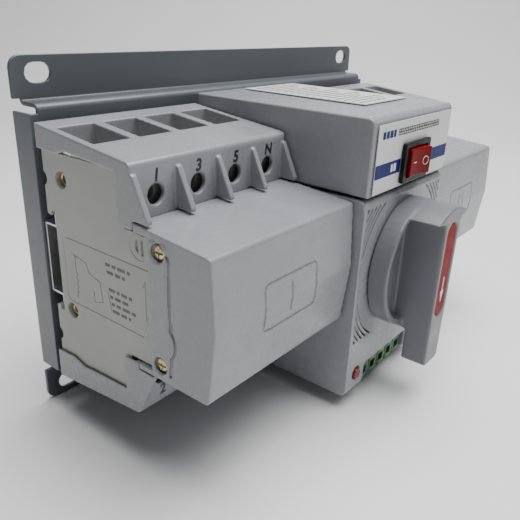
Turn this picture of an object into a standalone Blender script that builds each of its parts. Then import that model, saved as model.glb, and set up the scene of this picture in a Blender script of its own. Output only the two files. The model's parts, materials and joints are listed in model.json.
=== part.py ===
"""Two four-pole breakers on a bent steel plate, worked by a turning handle and a small motor."""

import math

import bmesh
import bpy
from mathutils import Vector

MM = 0.001

# Driving dimensions. Depths run forward from the plate's front panel, heights run up from the plate's foot,
# and x runs along the plate from its middle.
POLES = 4
POLE_PITCH = 18 * MM
SKIN = 1.0 * MM                 # room for a cover's side skin beyond the outer poles
TOUCH = 0.3 * MM                # gap between pieces that touch
WALL = 2 * MM
UNIT_GAP = 1.3 * MM             # between a breaker's covers and the drive unit
DRIVE_WIDTH = 67.4 * MM
PLATE_INSET = 1.0 * MM          # the plate stops short of the covers at each end
PLATE_HEIGHT = 134.1 * MM
PLATE_THICK = 1.5 * MM
FLANGE_HEIGHT = 14.7 * MM
FLANGE_SETBACK = 9.2 * MM
SLOT_LENGTH = 10 * MM
SLOT_WIDTH = 6.8 * MM
SLOT_INSET = 10.2 * MM          # slot centre from the plate's end
SLOT_HEIGHT = 5.8 * MM          # slot centre from the flange's edge
RAIL_HEIGHT = 35 * MM
RAIL_DEPTH = 7.5 * MM
RAIL_THICK = 1 * MM
MID_HEIGHT = 66.4 * MM          # middle of the breakers
POLE_HALF_HEIGHT = 39.6 * MM
POLE_BACK = 4.1 * MM
SHOULDER_DEPTH = 45.3 * MM
NOSE_LENGTH = 19.7 * MM         # from the terminal shoulders to the front of the breaker's nose
NOSE_HALF_HEIGHT = 22.2 * MM
TERMINAL_DROP = 7.7 * MM        # terminal screw from the end of the pole
SCREW_WELL = 3.2 * MM
COVER_BACK = 3.2 * MM
COVER_RISE = 8.5 * MM           # terminal cover's outer edge at the back, beyond the pole
COVER_SLOPE = 5.2 * MM          # how far that edge falls towards the front
WINDOW_WIDTH = 14.3 * MM
WINDOW_BACK = 11.1 * MM
WINDOW_DEPTH = 19.5 * MM
RIB_THICK = 2.2 * MM
RIB_REACH = 7 * MM
RIB_TIP = 0.9 * MM              # how far a rib's thin end stands out
COVER_CHEEK = 7 * MM            # width of the side skin between the cover's front and the pole
BOX_TOP = 25.4 * MM             # front cover's upper edge at the back, from the middle
BOX_TOP_FRONT = 22.6 * MM
BOX_BOTTOM = 24.6 * MM
BOX_BULGE = 1.8 * MM
BOX_TOGGLE_ROOM = 16.6 * MM     # front of the box ahead of the breaker's nose
STRAP_WIDTH = 7.3 * MM
STRAP_PROUD = 0.5 * MM
STRAP_SCREW_REACH = 18.9 * MM
STRAP_LOBE = 6.3 * MM
STRAP_LOBE_DROP = 9.9 * MM      # the lobe's middle below the breaker's
HOUSING_BOTTOM = 6.2 * MM
HOUSING_TOP = 89.7 * MM
UNIT_FRONT = 86 * MM            # front of the gear housing and of the controller
CONTROLLER_GAP = 1.0 * MM
CONTROLLER_HEIGHT = 27.8 * MM
HANDLE_HEIGHT = 58.3 * MM       # the handle's axis
HANDLE_RADIUS = 26.6 * MM
HANDLE_DEEP = 8 * MM            # from the back of the knob to its rim
HANDLE_DISH = 4.3 * MM
GRIP_PROUD = 12.3 * MM          # front of the grip ahead of the rim
GRIP_CLEAR = 1.7 * MM           # back of the grip's tail ahead of the rim
GRIP_HALF_TOP = 7.3 * MM
GRIP_HALF_FOOT = 6.5 * MM
GRIP_FOOT = 41.5 * MM           # the grip's foot below the axis
GRIP_SHOULDER = 22 * MM         # the grip widens to the knob's full width this far above the axis
RIM_WIDTH = 2.4 * MM
SHAFT_RADIUS = 3 * MM
SHAFT_FIT = 0.3 * MM
TOGGLE_LENGTH = 13 * MM
TOGGLE_HUB = 5 * MM
LEVER_HALF_WIDTH = 2.6 * MM
LEVER_HALF_THICK = 1.8 * MM     # thin enough to clear the nose when a toggle is fully over
TIE_RADIUS = 2 * MM
POST_X = 26 * MM                # posts that carry the bearing plate
POST_HEIGHTS = (22 * MM, 82 * MM)
BEARING_BACK = 58 * MM
BEARING_THICK = 1.5 * MM
DRIVE_MODULE = 1.6 * MM
DRIVE_TEETH = 24
MOTOR_TEETH = 12
RACK_MODULE = 1.0 * MM
RACK_TEETH = 12
RACK_BODY = 5 * MM
RACK_THICK = 7 * MM
RACK_REACH = 5                  # teeth of each rack to either side of the pinion
GEAR_BACK = 76 * MM
GEAR_THICK = 6 * MM
HANDLE_SWING = math.radians(90)
ROCKER_RISE = 9.3 * MM          # rocker's middle above the controller's foot
ROCKER_X = -1 * MM
ROCKER_SWING = math.radians(8)  # to each side of level
ROCKER_CORNER_X = 7.0 * MM      # the rocker's upper corners from its pin, when level
ROCKER_CORNER_OUT = 7.3 * MM
ROCKER_ROOM_HALF = 8.2 * MM
ROCKER_HALF_HEIGHT = 5.2 * MM
BEZEL_HALF_WIDTH = 10.8 * MM
BEZEL_HALF_HEIGHT = 7.6 * MM
NECK_HALF_WIDTH = 9.6 * MM
NECK_HALF_HEIGHT = 6.4 * MM
LABEL_THICK = 0.4 * MM
TERMINAL_PITCH = 7.48 * MM
TERMINALS = 5
NOTCH_HALF = 19 * MM
NOTCH_TOP = 16 * MM
NOTCH_DEPTH = 24 * MM
LED_X = 25.7 * MM
LED_HEIGHT = 14.7 * MM
LED_RADIUS = 2.5 * MM
PRESSURE_ANGLE = math.radians(25)

# Worked out from those.
BREAKER_WIDTH = POLES * POLE_PITCH + 2 * SKIN
HALF_DRIVE = DRIVE_WIDTH / 2
INNER_EDGE = HALF_DRIVE + UNIT_GAP
OUTER_EDGE = INNER_EDGE + BREAKER_WIDTH
BREAKER_X = (INNER_EDGE + OUTER_EDGE) / 2
PLATE_HALF = OUTER_EDGE - PLATE_INSET
TERMINAL_REACH = POLE_HALF_HEIGHT - TERMINAL_DROP
COVER_TOP = POLE_HALF_HEIGHT + COVER_RISE
COVER_FRONT = SHOULDER_DEPTH + 4.7 * MM
WINDOW_FRONT = WINDOW_BACK + WINDOW_DEPTH
NOSE_DEPTH = SHOULDER_DEPTH + NOSE_LENGTH
TOGGLE_DEPTH = NOSE_DEPTH - 2 * MM
BOX_FRONT = NOSE_DEPTH + BOX_TOGGLE_ROOM
STRAP_DEPTH = NOSE_DEPTH - 4.05 * MM
CONTROLLER_BOTTOM = HOUSING_TOP + CONTROLLER_GAP
CONTROLLER_TOP = CONTROLLER_BOTTOM + CONTROLLER_HEIGHT
ROCKER_HEIGHT = CONTROLLER_BOTTOM + ROCKER_RISE
NOTCH_BACK = UNIT_FRONT - NOTCH_DEPTH
HANDLE_RIM = UNIT_FRONT + TOUCH + HANDLE_DEEP
HANDLE_FLOOR = HANDLE_RIM - HANDLE_DISH
HANDLE_FRONT = HANDLE_RIM + GRIP_PROUD
GRIP_BACK = HANDLE_RIM + GRIP_CLEAR
SHAFT_FRONT = HANDLE_FLOOR + 10 * MM
PANEL_Y = (HANDLE_FRONT - FLANGE_SETBACK - PLATE_THICK) / 2
RACK_BACK = BEARING_BACK + BEARING_THICK + 4.5 * MM
RACK_RADIUS = RACK_MODULE * RACK_TEETH / 2
RACK_TRAVEL = RACK_RADIUS * HANDLE_SWING
ARM_HALF = 3.2 * MM
ARM_ROOM = RACK_TRAVEL + ARM_HALF + 0.6 * MM
MOTOR_HEIGHT = HANDLE_HEIGHT - DRIVE_MODULE * (DRIVE_TEETH + MOTOR_TEETH) / 2
SIDES = {"left": -1, "right": 1}

parts = bpy.data.collections.new("manual_transfer_switch")
cutters = bpy.data.collections.new("cutters")


def start_clean():
    for thing in list(bpy.data.objects):
        bpy.data.objects.remove(thing, do_unlink=True)
    for collection in (parts, cutters):
        bpy.context.scene.collection.children.link(collection)
    cutters.hide_render = True


def finish(name, colour, roughness, metallic=0.0):
    material = bpy.data.materials.new(name)
    material.use_nodes = True
    shader = material.node_tree.nodes["Principled BSDF"]
    shader.inputs["Base Color"].default_value = (*colour, 1)
    shader.inputs["Roughness"].default_value = roughness
    shader.inputs["Metallic"].default_value = metallic
    material.diffuse_color = (*colour, 1)
    return material


def place(name, mesh, location, rotation=(0, 0, 0), material=None):
    """Puts a mesh among the parts, or among the cutters when it has no material."""
    thing = bpy.data.objects.new(name, mesh)
    thing.location = location
    thing.rotation_euler = rotation
    if material:
        mesh.materials.append(material)
        parts.objects.link(thing)
    else:
        thing.hide_render = True
        thing.display_type = "WIRE"
        cutters.objects.link(thing)
    return thing


def spot(x, depth, height):
    """A point at x, this far in front of the panel, this high above the plate's foot."""
    return Vector((x, PANEL_Y - depth, height))


def block(name, x, depth, height, material=None):
    """A box from pairs of limits across, forward and up."""
    low = spot(x[0], depth[1], height[0])
    high = spot(x[1], depth[0], height[1])
    shape = bmesh.new()
    bmesh.ops.create_cube(shape, size=1)
    bmesh.ops.scale(shape, vec=high - low, verts=shape.verts)
    mesh = bpy.data.meshes.new(name)
    shape.to_mesh(mesh)
    shape.free()
    return place(name, mesh, (low + high) / 2, material=material)


def rod(name, radius, start, end, material=None, sides=24, end_radius=None):
    """A cylinder or cone from one point to another."""
    shape = bmesh.new()
    bmesh.ops.create_cone(
        shape, cap_ends=True, segments=sides, radius1=radius,
        radius2=radius if end_radius is None else end_radius, depth=(end - start).length,
    )
    mesh = bpy.data.meshes.new(name)
    shape.to_mesh(mesh)
    shape.free()
    mesh.shade_smooth()
    mesh.set_sharp_from_angle(angle=math.radians(30))
    turn = (end - start).to_track_quat("Z", "Y").to_euler()
    return place(name, mesh, (start + end) / 2, turn, material)


TURNS = {"x": (90, 0, -90), "depth": (90, 0, 0), "height": (180, 0, 0)}


def slab(name, outline, across, span, material=None):
    """A flat outline drawn out from one limit to another.

    Across x the outline is (depth, height), across depth it is (x, height), across height it is (x, depth).
    """
    curve = bpy.data.curves.new(name, "CURVE")
    curve.dimensions = "2D"
    curve.fill_mode = "BOTH"
    curve.extrude = (span[1] - span[0]) / 2
    spline = curve.splines.new("POLY")
    spline.points.add(len(outline) - 1)
    for point, (u, v) in zip(spline.points, outline):
        point.co = (u, v, 0, 1)
    spline.use_cyclic_u = True
    sketch = bpy.data.objects.new(name + "_sketch", curve)
    cutters.objects.link(sketch)
    middle = sum(span) / 2
    sketch.location = {
        "x": (middle, PANEL_Y, 0), "depth": (0, PANEL_Y - middle, 0), "height": (0, PANEL_Y, middle),
    }[across]
    sketch.rotation_euler = [math.radians(angle) for angle in TURNS[across]]
    bpy.context.view_layer.update()
    mesh = bpy.data.meshes.new_from_object(sketch.evaluated_get(bpy.context.evaluated_depsgraph_get()))
    shape = bmesh.new()
    shape.from_mesh(mesh)
    bmesh.ops.remove_doubles(shape, verts=shape.verts, dist=0.001 * MM)
    bmesh.ops.dissolve_limit(shape, angle_limit=0.001, verts=shape.verts, edges=shape.edges)
    bmesh.ops.recalc_face_normals(shape, faces=shape.faces)
    shape.to_mesh(mesh)
    shape.free()
    location = sketch.location.copy()
    rotation = sketch.rotation_euler.copy()
    bpy.data.objects.remove(sketch)
    return place(name, mesh, location, rotation, material)


def rounded(outline, steps=3):
    """Each outline point is (u, v) or (u, v, radius): a radius turns its corner into an arc."""
    points = []
    count = len(outline)
    for index, corner in enumerate(outline):
        here = Vector(corner[:2])
        radius = corner[2] if len(corner) > 2 else 0
        if not radius:
            points.append(tuple(here))
            continue
        before = (Vector(outline[index - 1][:2]) - here).normalized()
        after = (Vector(outline[(index + 1) % count][:2]) - here).normalized()
        half = before.angle(after) / 2
        reach = radius / math.tan(half)
        middle = here + (before + after).normalized() * radius / math.sin(half)
        first = here + before * reach - middle
        swing = first.angle_signed(here + after * reach - middle)
        for step in range(steps + 1):
            angle = -swing * step / steps
            turned = (
                first.x * math.cos(angle) - first.y * math.sin(angle),
                first.x * math.sin(angle) + first.y * math.cos(angle),
            )
            points.append((middle.x + turned[0], middle.y + turned[1]))
    return points


def arc(centre, radius, start, end, steps):
    """Points round a centre from one angle to another, in degrees."""
    angles = [math.radians(start + (end - start) * step / steps) for step in range(steps + 1)]
    return [(centre[0] + radius * math.cos(a), centre[1] + radius * math.sin(a)) for a in angles]


def rectangle(u, v, radius=0):
    return rounded([(u[0], v[0], radius), (u[1], v[0], radius), (u[1], v[1], radius), (u[0], v[1], radius)])


def combine(target, tools, operation):
    for tool in tools:
        step = target.modifiers.new(tool.name, "BOOLEAN")
        step.object = tool
        step.operation = operation
        step.solver = "EXACT"


def cut(target, *tools):
    combine(target, tools, "DIFFERENCE")


def join(target, *tools):
    combine(target, tools, "UNION")


def soften(target, width, segments=2, angle=40):
    step = target.modifiers.new("edges", "BEVEL")
    step.width = width
    step.segments = segments
    step.limit_method = "ANGLE"
    step.angle_limit = math.radians(angle)


def pivot(name, location, *carried):
    """An empty on a joint's axis that carries the pieces that move with it."""
    empty = bpy.data.objects.new(name, None)
    empty.location = location
    empty.empty_display_size = 10 * MM
    parts.objects.link(empty)
    bpy.context.view_layer.update()
    for piece in carried:
        piece.parent = empty
        piece.matrix_parent_inverse = empty.matrix_world.inverted()


def involute(base, radius):
    """The angle an involute from this base circle has turned through at a radius."""
    roll = math.sqrt(max((radius / base) ** 2 - 1, 0))
    return roll - math.atan(roll)


def gear_outline(module, teeth, middle, first_tooth, backlash=0.12 * MM):
    """An involute gear in the plane across the depth, with the middle of one tooth at an angle."""
    pitch = module * teeth / 2
    base = pitch * math.cos(PRESSURE_ANGLE)
    tip = pitch + 0.8 * module
    root = pitch - 1.1 * module
    half = math.pi / 2 / teeth - backlash / 2 / pitch
    flank = [max(base, root) + (tip - max(base, root)) * share for share in (0, 0.5, 1)]
    points = []
    for tooth in range(teeth):
        centre = first_tooth + tooth * math.tau / teeth
        spread = [half + involute(base, pitch) - involute(base, radius) for radius in flank]
        rising = [(root, -spread[0])] + [(radius, -turn) for radius, turn in zip(flank, spread)]
        falling = [(radius, turn) for radius, turn in reversed(rising)]
        for radius, turn in rising + [(radius, -turn) for radius, turn in falling]:
            angle = centre + turn
            points.append((middle[0] + radius * math.cos(angle), middle[1] + radius * math.sin(angle)))
    return points


# Finishes

PLATE_PAINT = finish("plate_paint", (0.10, 0.12, 0.14), 0.4)
ZINC = finish("zinc_steel", (0.62, 0.62, 0.6), 0.35, 1.0)
BRASS = finish("brass", (0.75, 0.58, 0.25), 0.3, 1.0)
BREAKER_PLASTIC = finish("breaker_plastic", (0.26, 0.27, 0.24), 0.6)
COVER_PLASTIC = finish("cover_plastic", (0.42, 0.43, 0.45), 0.35)
HANDLE_PLASTIC = finish("handle_plastic", (0.38, 0.39, 0.41), 0.35)
DARK_PLASTIC = finish("dark_plastic", (0.02, 0.02, 0.02), 0.4)
RED_PLASTIC = finish("red_plastic", (0.35, 0.03, 0.03), 0.3)
LABEL = finish("label", (0.75, 0.75, 0.76), 0.4)
TERMINAL_GREEN = finish("terminal_green", (0.02, 0.12, 0.04), 0.45)
BOARD_GREEN = finish("board_green", (0.02, 0.1, 0.05), 0.5)
LENS_RED = finish("lens_red", (0.2, 0.01, 0.01), 0.15)
NATURAL_NYLON = finish("natural_nylon", (0.7, 0.68, 0.6), 0.5)


# Plate and rails

def mounting_plate():
    """One bent sheet: a raised panel, a step back at top and bottom, and two flanges with slots."""
    back = -FLANGE_SETBACK
    low, high = FLANGE_HEIGHT, PLATE_HEIGHT - FLANGE_HEIGHT
    outer, inner = 2.2 * MM, 0.7 * MM
    sheet = rounded([
        (back, 0), (back, low, inner), (0, low, outer), (0, high, outer), (back, high, inner),
        (back, PLATE_HEIGHT), (back - PLATE_THICK, PLATE_HEIGHT),
        (back - PLATE_THICK, high - PLATE_THICK, outer), (-PLATE_THICK, high - PLATE_THICK, inner),
        (-PLATE_THICK, low + PLATE_THICK, inner), (back - PLATE_THICK, low + PLATE_THICK, outer),
        (back - PLATE_THICK, 0),
    ])
    plate = slab("mounting_plate", sheet, "x", (-PLATE_HALF, PLATE_HALF), PLATE_PAINT)
    relief = 1.6 * MM
    reach = back - PLATE_THICK
    for side, sign in SIDES.items():
        ends = sorted((sign * PLATE_HALF, sign * (PLATE_HALF - PLATE_THICK)))
        span = (low + PLATE_THICK + relief, high - PLATE_THICK - relief)
        join(plate, block(side + "_return", ends, (reach, -0.2 * MM), span))
    corner = 4 * MM
    beyond = MM
    for sign in SIDES.values():
        for foot, up in ((0, 1), (PLATE_HEIGHT, -1)):
            x, height = sign * (PLATE_HALF - corner), foot + up * corner
            edge, outside = sign * (PLATE_HALF + beyond), foot - up * beyond
            start, turn = (0, -90 * up) if sign > 0 else (180, 90 * up)
            outline = arc((x, height), corner, start, start + turn, 5)
            outline += [(x, outside), (edge, outside), (edge, height)]
            cut(plate, slab("flange_corner", outline, "depth", (-20 * MM, -5 * MM)))
            notch = sorted((sign * (PLATE_HALF - 3 * MM), sign * (PLATE_HALF + beyond)))
            span = sorted((foot + up * (low - relief / 2), foot + up * (low + relief + PLATE_THICK)))
            cut(plate, block("bend_relief", notch, (-20 * MM, 5 * MM), span))
    for sign in SIDES.values():
        for height in (SLOT_HEIGHT, PLATE_HEIGHT - SLOT_HEIGHT):
            x = sign * (PLATE_HALF - SLOT_INSET)
            radius = SLOT_WIDTH / 2
            run = SLOT_LENGTH / 2 - radius
            outline = arc((x + run, height), radius, -90, 90, 6) + arc((x - run, height), radius, 90, 270, 6)
            cut(plate, slab("slot", outline, "depth", (-20 * MM, 0)))
    return plate


def din_rail(side, sign):
    """Top-hat rail that the breakers hook onto."""
    back = TOUCH
    front = back + RAIL_DEPTH
    web = RAIL_HEIGHT / 2 - 4 * MM
    edge = RAIL_HEIGHT / 2
    t = RAIL_THICK
    half = [
        (back, web), (front - t, web), (front - t, edge),
        (front, edge), (front, web - t), (back + t, web - t),
    ]
    outline = [(depth, MID_HEIGHT + up) for depth, up in half]
    outline += [(depth, MID_HEIGHT - up) for depth, up in reversed(half)]
    ends = sorted((sign * (INNER_EDGE + 2 * MM), sign * (OUTER_EDGE - 2 * MM)))
    return slab(side + "_din_rail", outline, "x", ends, ZINC)


# Breakers

def pole_outline():
    """Side view of one pole: terminal shoulders, the nose in front and the rail notch behind."""
    rail_front = TOUCH + RAIL_DEPTH
    notch = rail_front + 0.6 * MM
    hook = rail_front - RAIL_THICK - 0.4 * MM
    edge = RAIL_HEIGHT / 2
    nick = [
        (POLE_BACK + depth, up) for depth, up in arc((-0.9 * MM, 29.7 * MM), 2.6 * MM, -68, 68, 4)
    ]
    half = [
        (notch, edge + 1.2 * MM), (hook, edge + 1.2 * MM),
        (hook, edge - 0.6 * MM), (POLE_BACK, edge - 0.1 * MM), *nick,
        (POLE_BACK, POLE_HALF_HEIGHT), (SHOULDER_DEPTH, POLE_HALF_HEIGHT),
        (SHOULDER_DEPTH, NOSE_HALF_HEIGHT), (NOSE_DEPTH, NOSE_HALF_HEIGHT - 0.4 * MM),
    ]
    outline = [(depth, MID_HEIGHT + up) for depth, up in half]
    return outline + [(depth, MID_HEIGHT - up) for depth, up in reversed(half)]


def pole_x(sign, number):
    """Middle of a pole, counted from the left."""
    return sign * BREAKER_X + (number - (POLES + 1) / 2) * POLE_PITCH


def breaker_pole(side, sign, number):
    x = pole_x(sign, number)
    half = (POLE_PITCH - TOUCH) / 2
    name = f"{side}_pole_{number}"
    pole = slab(name, pole_outline(), "x", (x - half, x + half), BREAKER_PLASTIC)
    tunnel = WINDOW_WIDTH / 2 - 1.4 * MM
    for up in (1, -1):
        heights = sorted((MID_HEIGHT + up * 26 * MM, MID_HEIGHT + up * (POLE_HALF_HEIGHT + 2 * MM)))
        depths = (WINDOW_BACK + 2 * MM, WINDOW_FRONT - 2 * MM)
        cut(pole, block("wire_tunnel", (x - tunnel, x + tunnel), depths, heights))
        well = MID_HEIGHT + up * TERMINAL_REACH
        start = spot(x, WINDOW_FRONT - 4 * MM, well)
        cut(pole, rod("screw_well", SCREW_WELL, start, spot(x, SHOULDER_DEPTH + 2 * MM, well), sides=12))
    groove = TOGGLE_HUB + 0.6 * MM
    ends = (spot(x - half - MM, TOGGLE_DEPTH, MID_HEIGHT), spot(x + half + MM, TOGGLE_DEPTH, MID_HEIGHT))
    cut(pole, rod("toggle_groove", groove, *ends, sides=16))
    if x * sign > BREAKER_X + POLE_PITCH:
        outer_pole_holes(pole, x + sign * half, sign)
    return pole


def outer_pole_holes(pole, face, sign):
    """Rivet wells and strap screw holes in the breaker's outer side."""
    outside = face + sign * MM
    for height in (MID_HEIGHT + 30.8 * MM, MID_HEIGHT - 16.9 * MM):
        ends = (spot(face - sign * 2.5 * MM, 13.7 * MM, height), spot(outside, 13.7 * MM, height))
        cut(pole, rod("rivet_well", 3 * MM, *ends, sides=16))
    for height in (MID_HEIGHT + STRAP_SCREW_REACH, MID_HEIGHT - STRAP_SCREW_REACH):
        ends = (spot(face - sign * 7 * MM, STRAP_DEPTH, height), spot(outside, STRAP_DEPTH, height))
        cut(pole, rod("strap_screw_hole", 1.6 * MM, *ends, sides=10))


def terminal_cover(side, sign, place_name):
    """Cover over one row of terminals: wire windows at the end, screw holes and ribs in front."""
    up = 1 if place_name == "upper" else -1
    left = sign * BREAKER_X - BREAKER_WIDTH / 2
    right = left + BREAKER_WIDTH
    skin_edge = POLE_HALF_HEIGHT if up > 0 else POLE_HALF_HEIGHT - 3.5 * MM
    top_front = COVER_TOP - COVER_SLOPE
    strip = COVER_FRONT - COVER_CHEEK
    foot = BOX_TOP + 0.4 * MM if up > 0 else BOX_BOTTOM + 0.4 * MM
    hem = NOSE_HALF_HEIGHT + 2 * TOUCH

    def at(outline):
        return [(depth, MID_HEIGHT + up * rise) for depth, rise in outline]

    body = rounded([
        (COVER_BACK, COVER_TOP), (COVER_FRONT, top_front, 2 * MM), (COVER_FRONT, hem), (strip, hem),
        (strip, skin_edge - 0.3 * MM), (23.6 * MM, skin_edge + 0.9 * MM), (19 * MM, skin_edge + 1.5 * MM),
        (13.3 * MM, skin_edge - 0.3 * MM), (COVER_BACK, skin_edge + 0.3 * MM),
    ])
    name = f"{side}_{place_name}_terminal_cover"
    cover = slab(name, at(body), "x", (left, right), COVER_PLASTIC)
    pole_end = POLE_HALF_HEIGHT + TOUCH
    cavity = at([
        (COVER_BACK - MM, pole_end), (COVER_FRONT - WALL, pole_end),
        (COVER_FRONT - WALL, hem - MM), (COVER_BACK - MM, hem - MM),
    ])
    inner = SKIN - TOUCH
    cut(cover, slab("cover_hollow", cavity, "x", (left + inner, right - inner)))
    windows = [pole_x(sign, number) for number in range(1, POLES + 1)]
    top = sorted((MID_HEIGHT + up * (COVER_TOP - 12 * MM), MID_HEIGHT + up * (COVER_TOP + 2 * MM)))
    well = MID_HEIGHT + up * TERMINAL_REACH
    for x in windows:
        half = WINDOW_WIDTH / 2
        cut(cover, block("window", (x - half, x + half), (WINDOW_BACK, WINDOW_FRONT), top))
        ends = (spot(x, COVER_FRONT - 4 * MM, well), spot(x, COVER_FRONT + 2 * MM, well))
        cut(cover, rod("driver_hole", SCREW_WELL + 0.1 * MM, *ends, sides=16))
    rib = at([
        (COVER_FRONT - 0.8 * MM, foot), (COVER_FRONT + RIB_REACH, foot), (COVER_FRONT + RIB_REACH, foot + MM),
        (COVER_FRONT + RIB_TIP, COVER_TOP - 8.6 * MM), (COVER_FRONT - 0.8 * MM, COVER_TOP - 8.6 * MM),
    ])
    between = [left + SKIN + joint * POLE_PITCH for joint in range(1, POLES)]
    for x in [left + RIB_THICK / 2, *between, right - RIB_THICK / 2]:
        join(cover, slab("rib", rib, "x", (x - RIB_THICK / 2, x + RIB_THICK / 2)))
    return cover


def front_cover(side, sign):
    """Box over the joined toggles, with a screwed strap on its outer side."""
    left = sign * BREAKER_X - BREAKER_WIDTH / 2
    right = left + BREAKER_WIDTH
    back = COVER_FRONT + TOUCH
    top, bottom = MID_HEIGHT + BOX_TOP, MID_HEIGHT - BOX_BOTTOM
    top_front = MID_HEIGHT + BOX_TOP_FRONT
    ridge = BOX_FRONT + BOX_BULGE
    shell = rounded([
        (back, bottom), (BOX_FRONT - 0.6 * MM, bottom, 1.5 * MM), (ridge, MID_HEIGHT - MM),
        (BOX_FRONT, top_front, 1.5 * MM), (back, top),
    ])
    box = slab(side + "_front_cover", shell, "x", (left, right), COVER_PLASTIC)
    slope = (BOX_TOP - BOX_TOP_FRONT) / (BOX_FRONT - back)
    hollow = [
        (back - MM, bottom + WALL), (BOX_FRONT - 0.6 * MM - WALL, bottom + WALL),
        (ridge - WALL, MID_HEIGHT - MM),
        (BOX_FRONT - WALL, top_front - WALL), (back - MM, top + slope * MM - WALL),
    ]
    wall = WALL - 0.2 * MM
    cut(box, slab("box_hollow", hollow, "x", (left + wall, right - wall)))
    thin = SKIN - 0.2 * MM
    beside_nose = (MID_HEIGHT - NOSE_HALF_HEIGHT - 0.3 * MM, MID_HEIGHT + NOSE_HALF_HEIGHT + 0.3 * MM)
    cut(box, block("nose_room", (left + thin, right - thin), (back - MM, NOSE_DEPTH + 0.6 * MM), beside_nose))
    side_back = STRAP_DEPTH - STRAP_WIDTH / 2
    cut(box, block("side_opening", (left - MM, right + MM), (back - MM, side_back), beside_nose))
    outer = left if sign < 0 else right
    lobe = (STRAP_DEPTH, MID_HEIGHT - STRAP_LOBE_DROP)
    swell = math.degrees(math.acos(STRAP_WIDTH / 2 / STRAP_LOBE))
    strap_back, strap_front = side_back - 0.1 * MM, side_back + STRAP_WIDTH
    low, high = bottom + MM, top_front - MM
    strap = rounded([
        (strap_front, low, MM), *arc(lobe, STRAP_LOBE, -swell, swell, 8),
        (strap_front, high, MM), (strap_back, high, MM),
        *arc(lobe, STRAP_LOBE, 178 - swell, 182 + swell, 8)[1:-1], (strap_back, low, MM),
    ])
    proud = sorted((outer + sign * STRAP_PROUD, outer - sign * 0.5 * MM))
    join(box, slab("strap", strap, "x", proud))
    under, above = outer - sign * 3 * MM, outer + sign * 2 * MM
    for height in (MID_HEIGHT + STRAP_SCREW_REACH, MID_HEIGHT - STRAP_SCREW_REACH):
        ends = (spot(under, STRAP_DEPTH, height), spot(above, STRAP_DEPTH, height))
        cut(box, rod("strap_hole", 2.9 * MM, *ends, sides=20))
    inner = right if sign < 0 else left
    ends = sorted((inner - sign * MM, inner + sign * 3 * MM))
    heights = (MID_HEIGHT - ARM_ROOM, MID_HEIGHT + ARM_ROOM)
    cut(box, block("arm_slot", ends, (RACK_BACK, RACK_BACK + RACK_THICK), heights))
    return box


def strap_screw(side, sign, place_name):
    """Pan-head screw through the strap into the breaker's side."""
    height = MID_HEIGHT + (STRAP_SCREW_REACH if place_name == "upper" else -STRAP_SCREW_REACH)
    depth = STRAP_DEPTH
    face = sign * (OUTER_EDGE - SKIN) - sign * TOUCH / 2
    name = f"{side}_{place_name}_strap_screw"
    head = spot(face + sign * TOUCH, depth, height)
    tip = spot(face - sign * 6.5 * MM, depth, height)
    inside_head = spot(face + sign * 0.7 * MM, depth, height)
    screw = rod(name, 1.25 * MM, tip, inside_head, ZINC, sides=10)
    join(screw, rod("head", 2.6 * MM, head, spot(face + sign * 1.1 * MM, depth, height), sides=16))
    slot = 0.35 * MM
    ends = sorted((face + sign * 0.8 * MM, face + sign * 2 * MM))
    cut(screw, block("cross", ends, (depth - 2 * MM, depth + 2 * MM), (height - slot, height + slot)))
    cut(screw, block("cross", ends, (depth - slot, depth + slot), (height - 2 * MM, height + 2 * MM)))
    return screw


def toggle_bar(side, sign):
    """The four toggles on one hub, tied at their tips."""
    hub_ends = (INNER_EDGE + 7.5 * MM, OUTER_EDGE - 4 * MM)
    hub = rod(
        side + "_toggle_bar", TOGGLE_HUB, spot(sign * hub_ends[0], TOGGLE_DEPTH, MID_HEIGHT),
        spot(sign * hub_ends[1], TOGGLE_DEPTH, MID_HEIGHT), DARK_PLASTIC, sides=16,
    )
    tip = TOGGLE_DEPTH + TOGGLE_LENGTH
    tie = (spot(sign * (INNER_EDGE + 2.5 * MM), tip, MID_HEIGHT), spot(sign * hub_ends[1], tip, MID_HEIGHT))
    for number in range(1, POLES + 1):
        x = pole_x(sign, number)
        span = (x - LEVER_HALF_WIDTH, x + LEVER_HALF_WIDTH)
        heights = (MID_HEIGHT - LEVER_HALF_THICK, MID_HEIGHT + LEVER_HALF_THICK)
        join(hub, block("lever", span, (TOGGLE_DEPTH, tip), heights))
    join(hub, rod("tie", TIE_RADIUS, *tie, sides=12))
    pivot(side + "_toggle_axis", spot(sign * BREAKER_X, TOGGLE_DEPTH, MID_HEIGHT), hub)
    return hub


# Drive unit

def drive_base():
    """Moulded tray on the plate with four posts that carry the bearing plate."""
    half = HALF_DRIVE - WALL - 1.7 * MM
    low, high = HOUSING_BOTTOM + WALL + 1.2 * MM, HOUSING_TOP - WALL - 1.7 * MM
    outline = rectangle((-half, half), (low, high), 3 * MM)
    tray = slab("drive_base", outline, "depth", (TOUCH, 3 * MM), DARK_PLASTIC)
    for x in (-POST_X, POST_X):
        for height in POST_HEIGHTS:
            ends = (spot(x, 2 * MM, height), spot(x, BEARING_BACK - TOUCH, height))
            join(tray, rod("post", 3 * MM, *ends, sides=12))
    return tray


def bearing_plate():
    """Steel plate behind the gears, with holes for the handle's shaft and the motor's."""
    half = POST_X + 4 * MM
    outline = rectangle((-half, half), (POST_HEIGHTS[0] - 3 * MM, POST_HEIGHTS[1] + 3 * MM), 2 * MM)
    span = (BEARING_BACK, BEARING_BACK + BEARING_THICK)
    plate = slab("bearing_plate", outline, "depth", span, ZINC)
    for height in (HANDLE_HEIGHT, MOTOR_HEIGHT):
        ends = (spot(0, BEARING_BACK - MM, height), spot(0, BEARING_BACK + 4 * MM, height))
        cut(plate, rod("shaft_hole", SHAFT_RADIUS + SHAFT_FIT, *ends, sides=20))
    return plate


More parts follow.
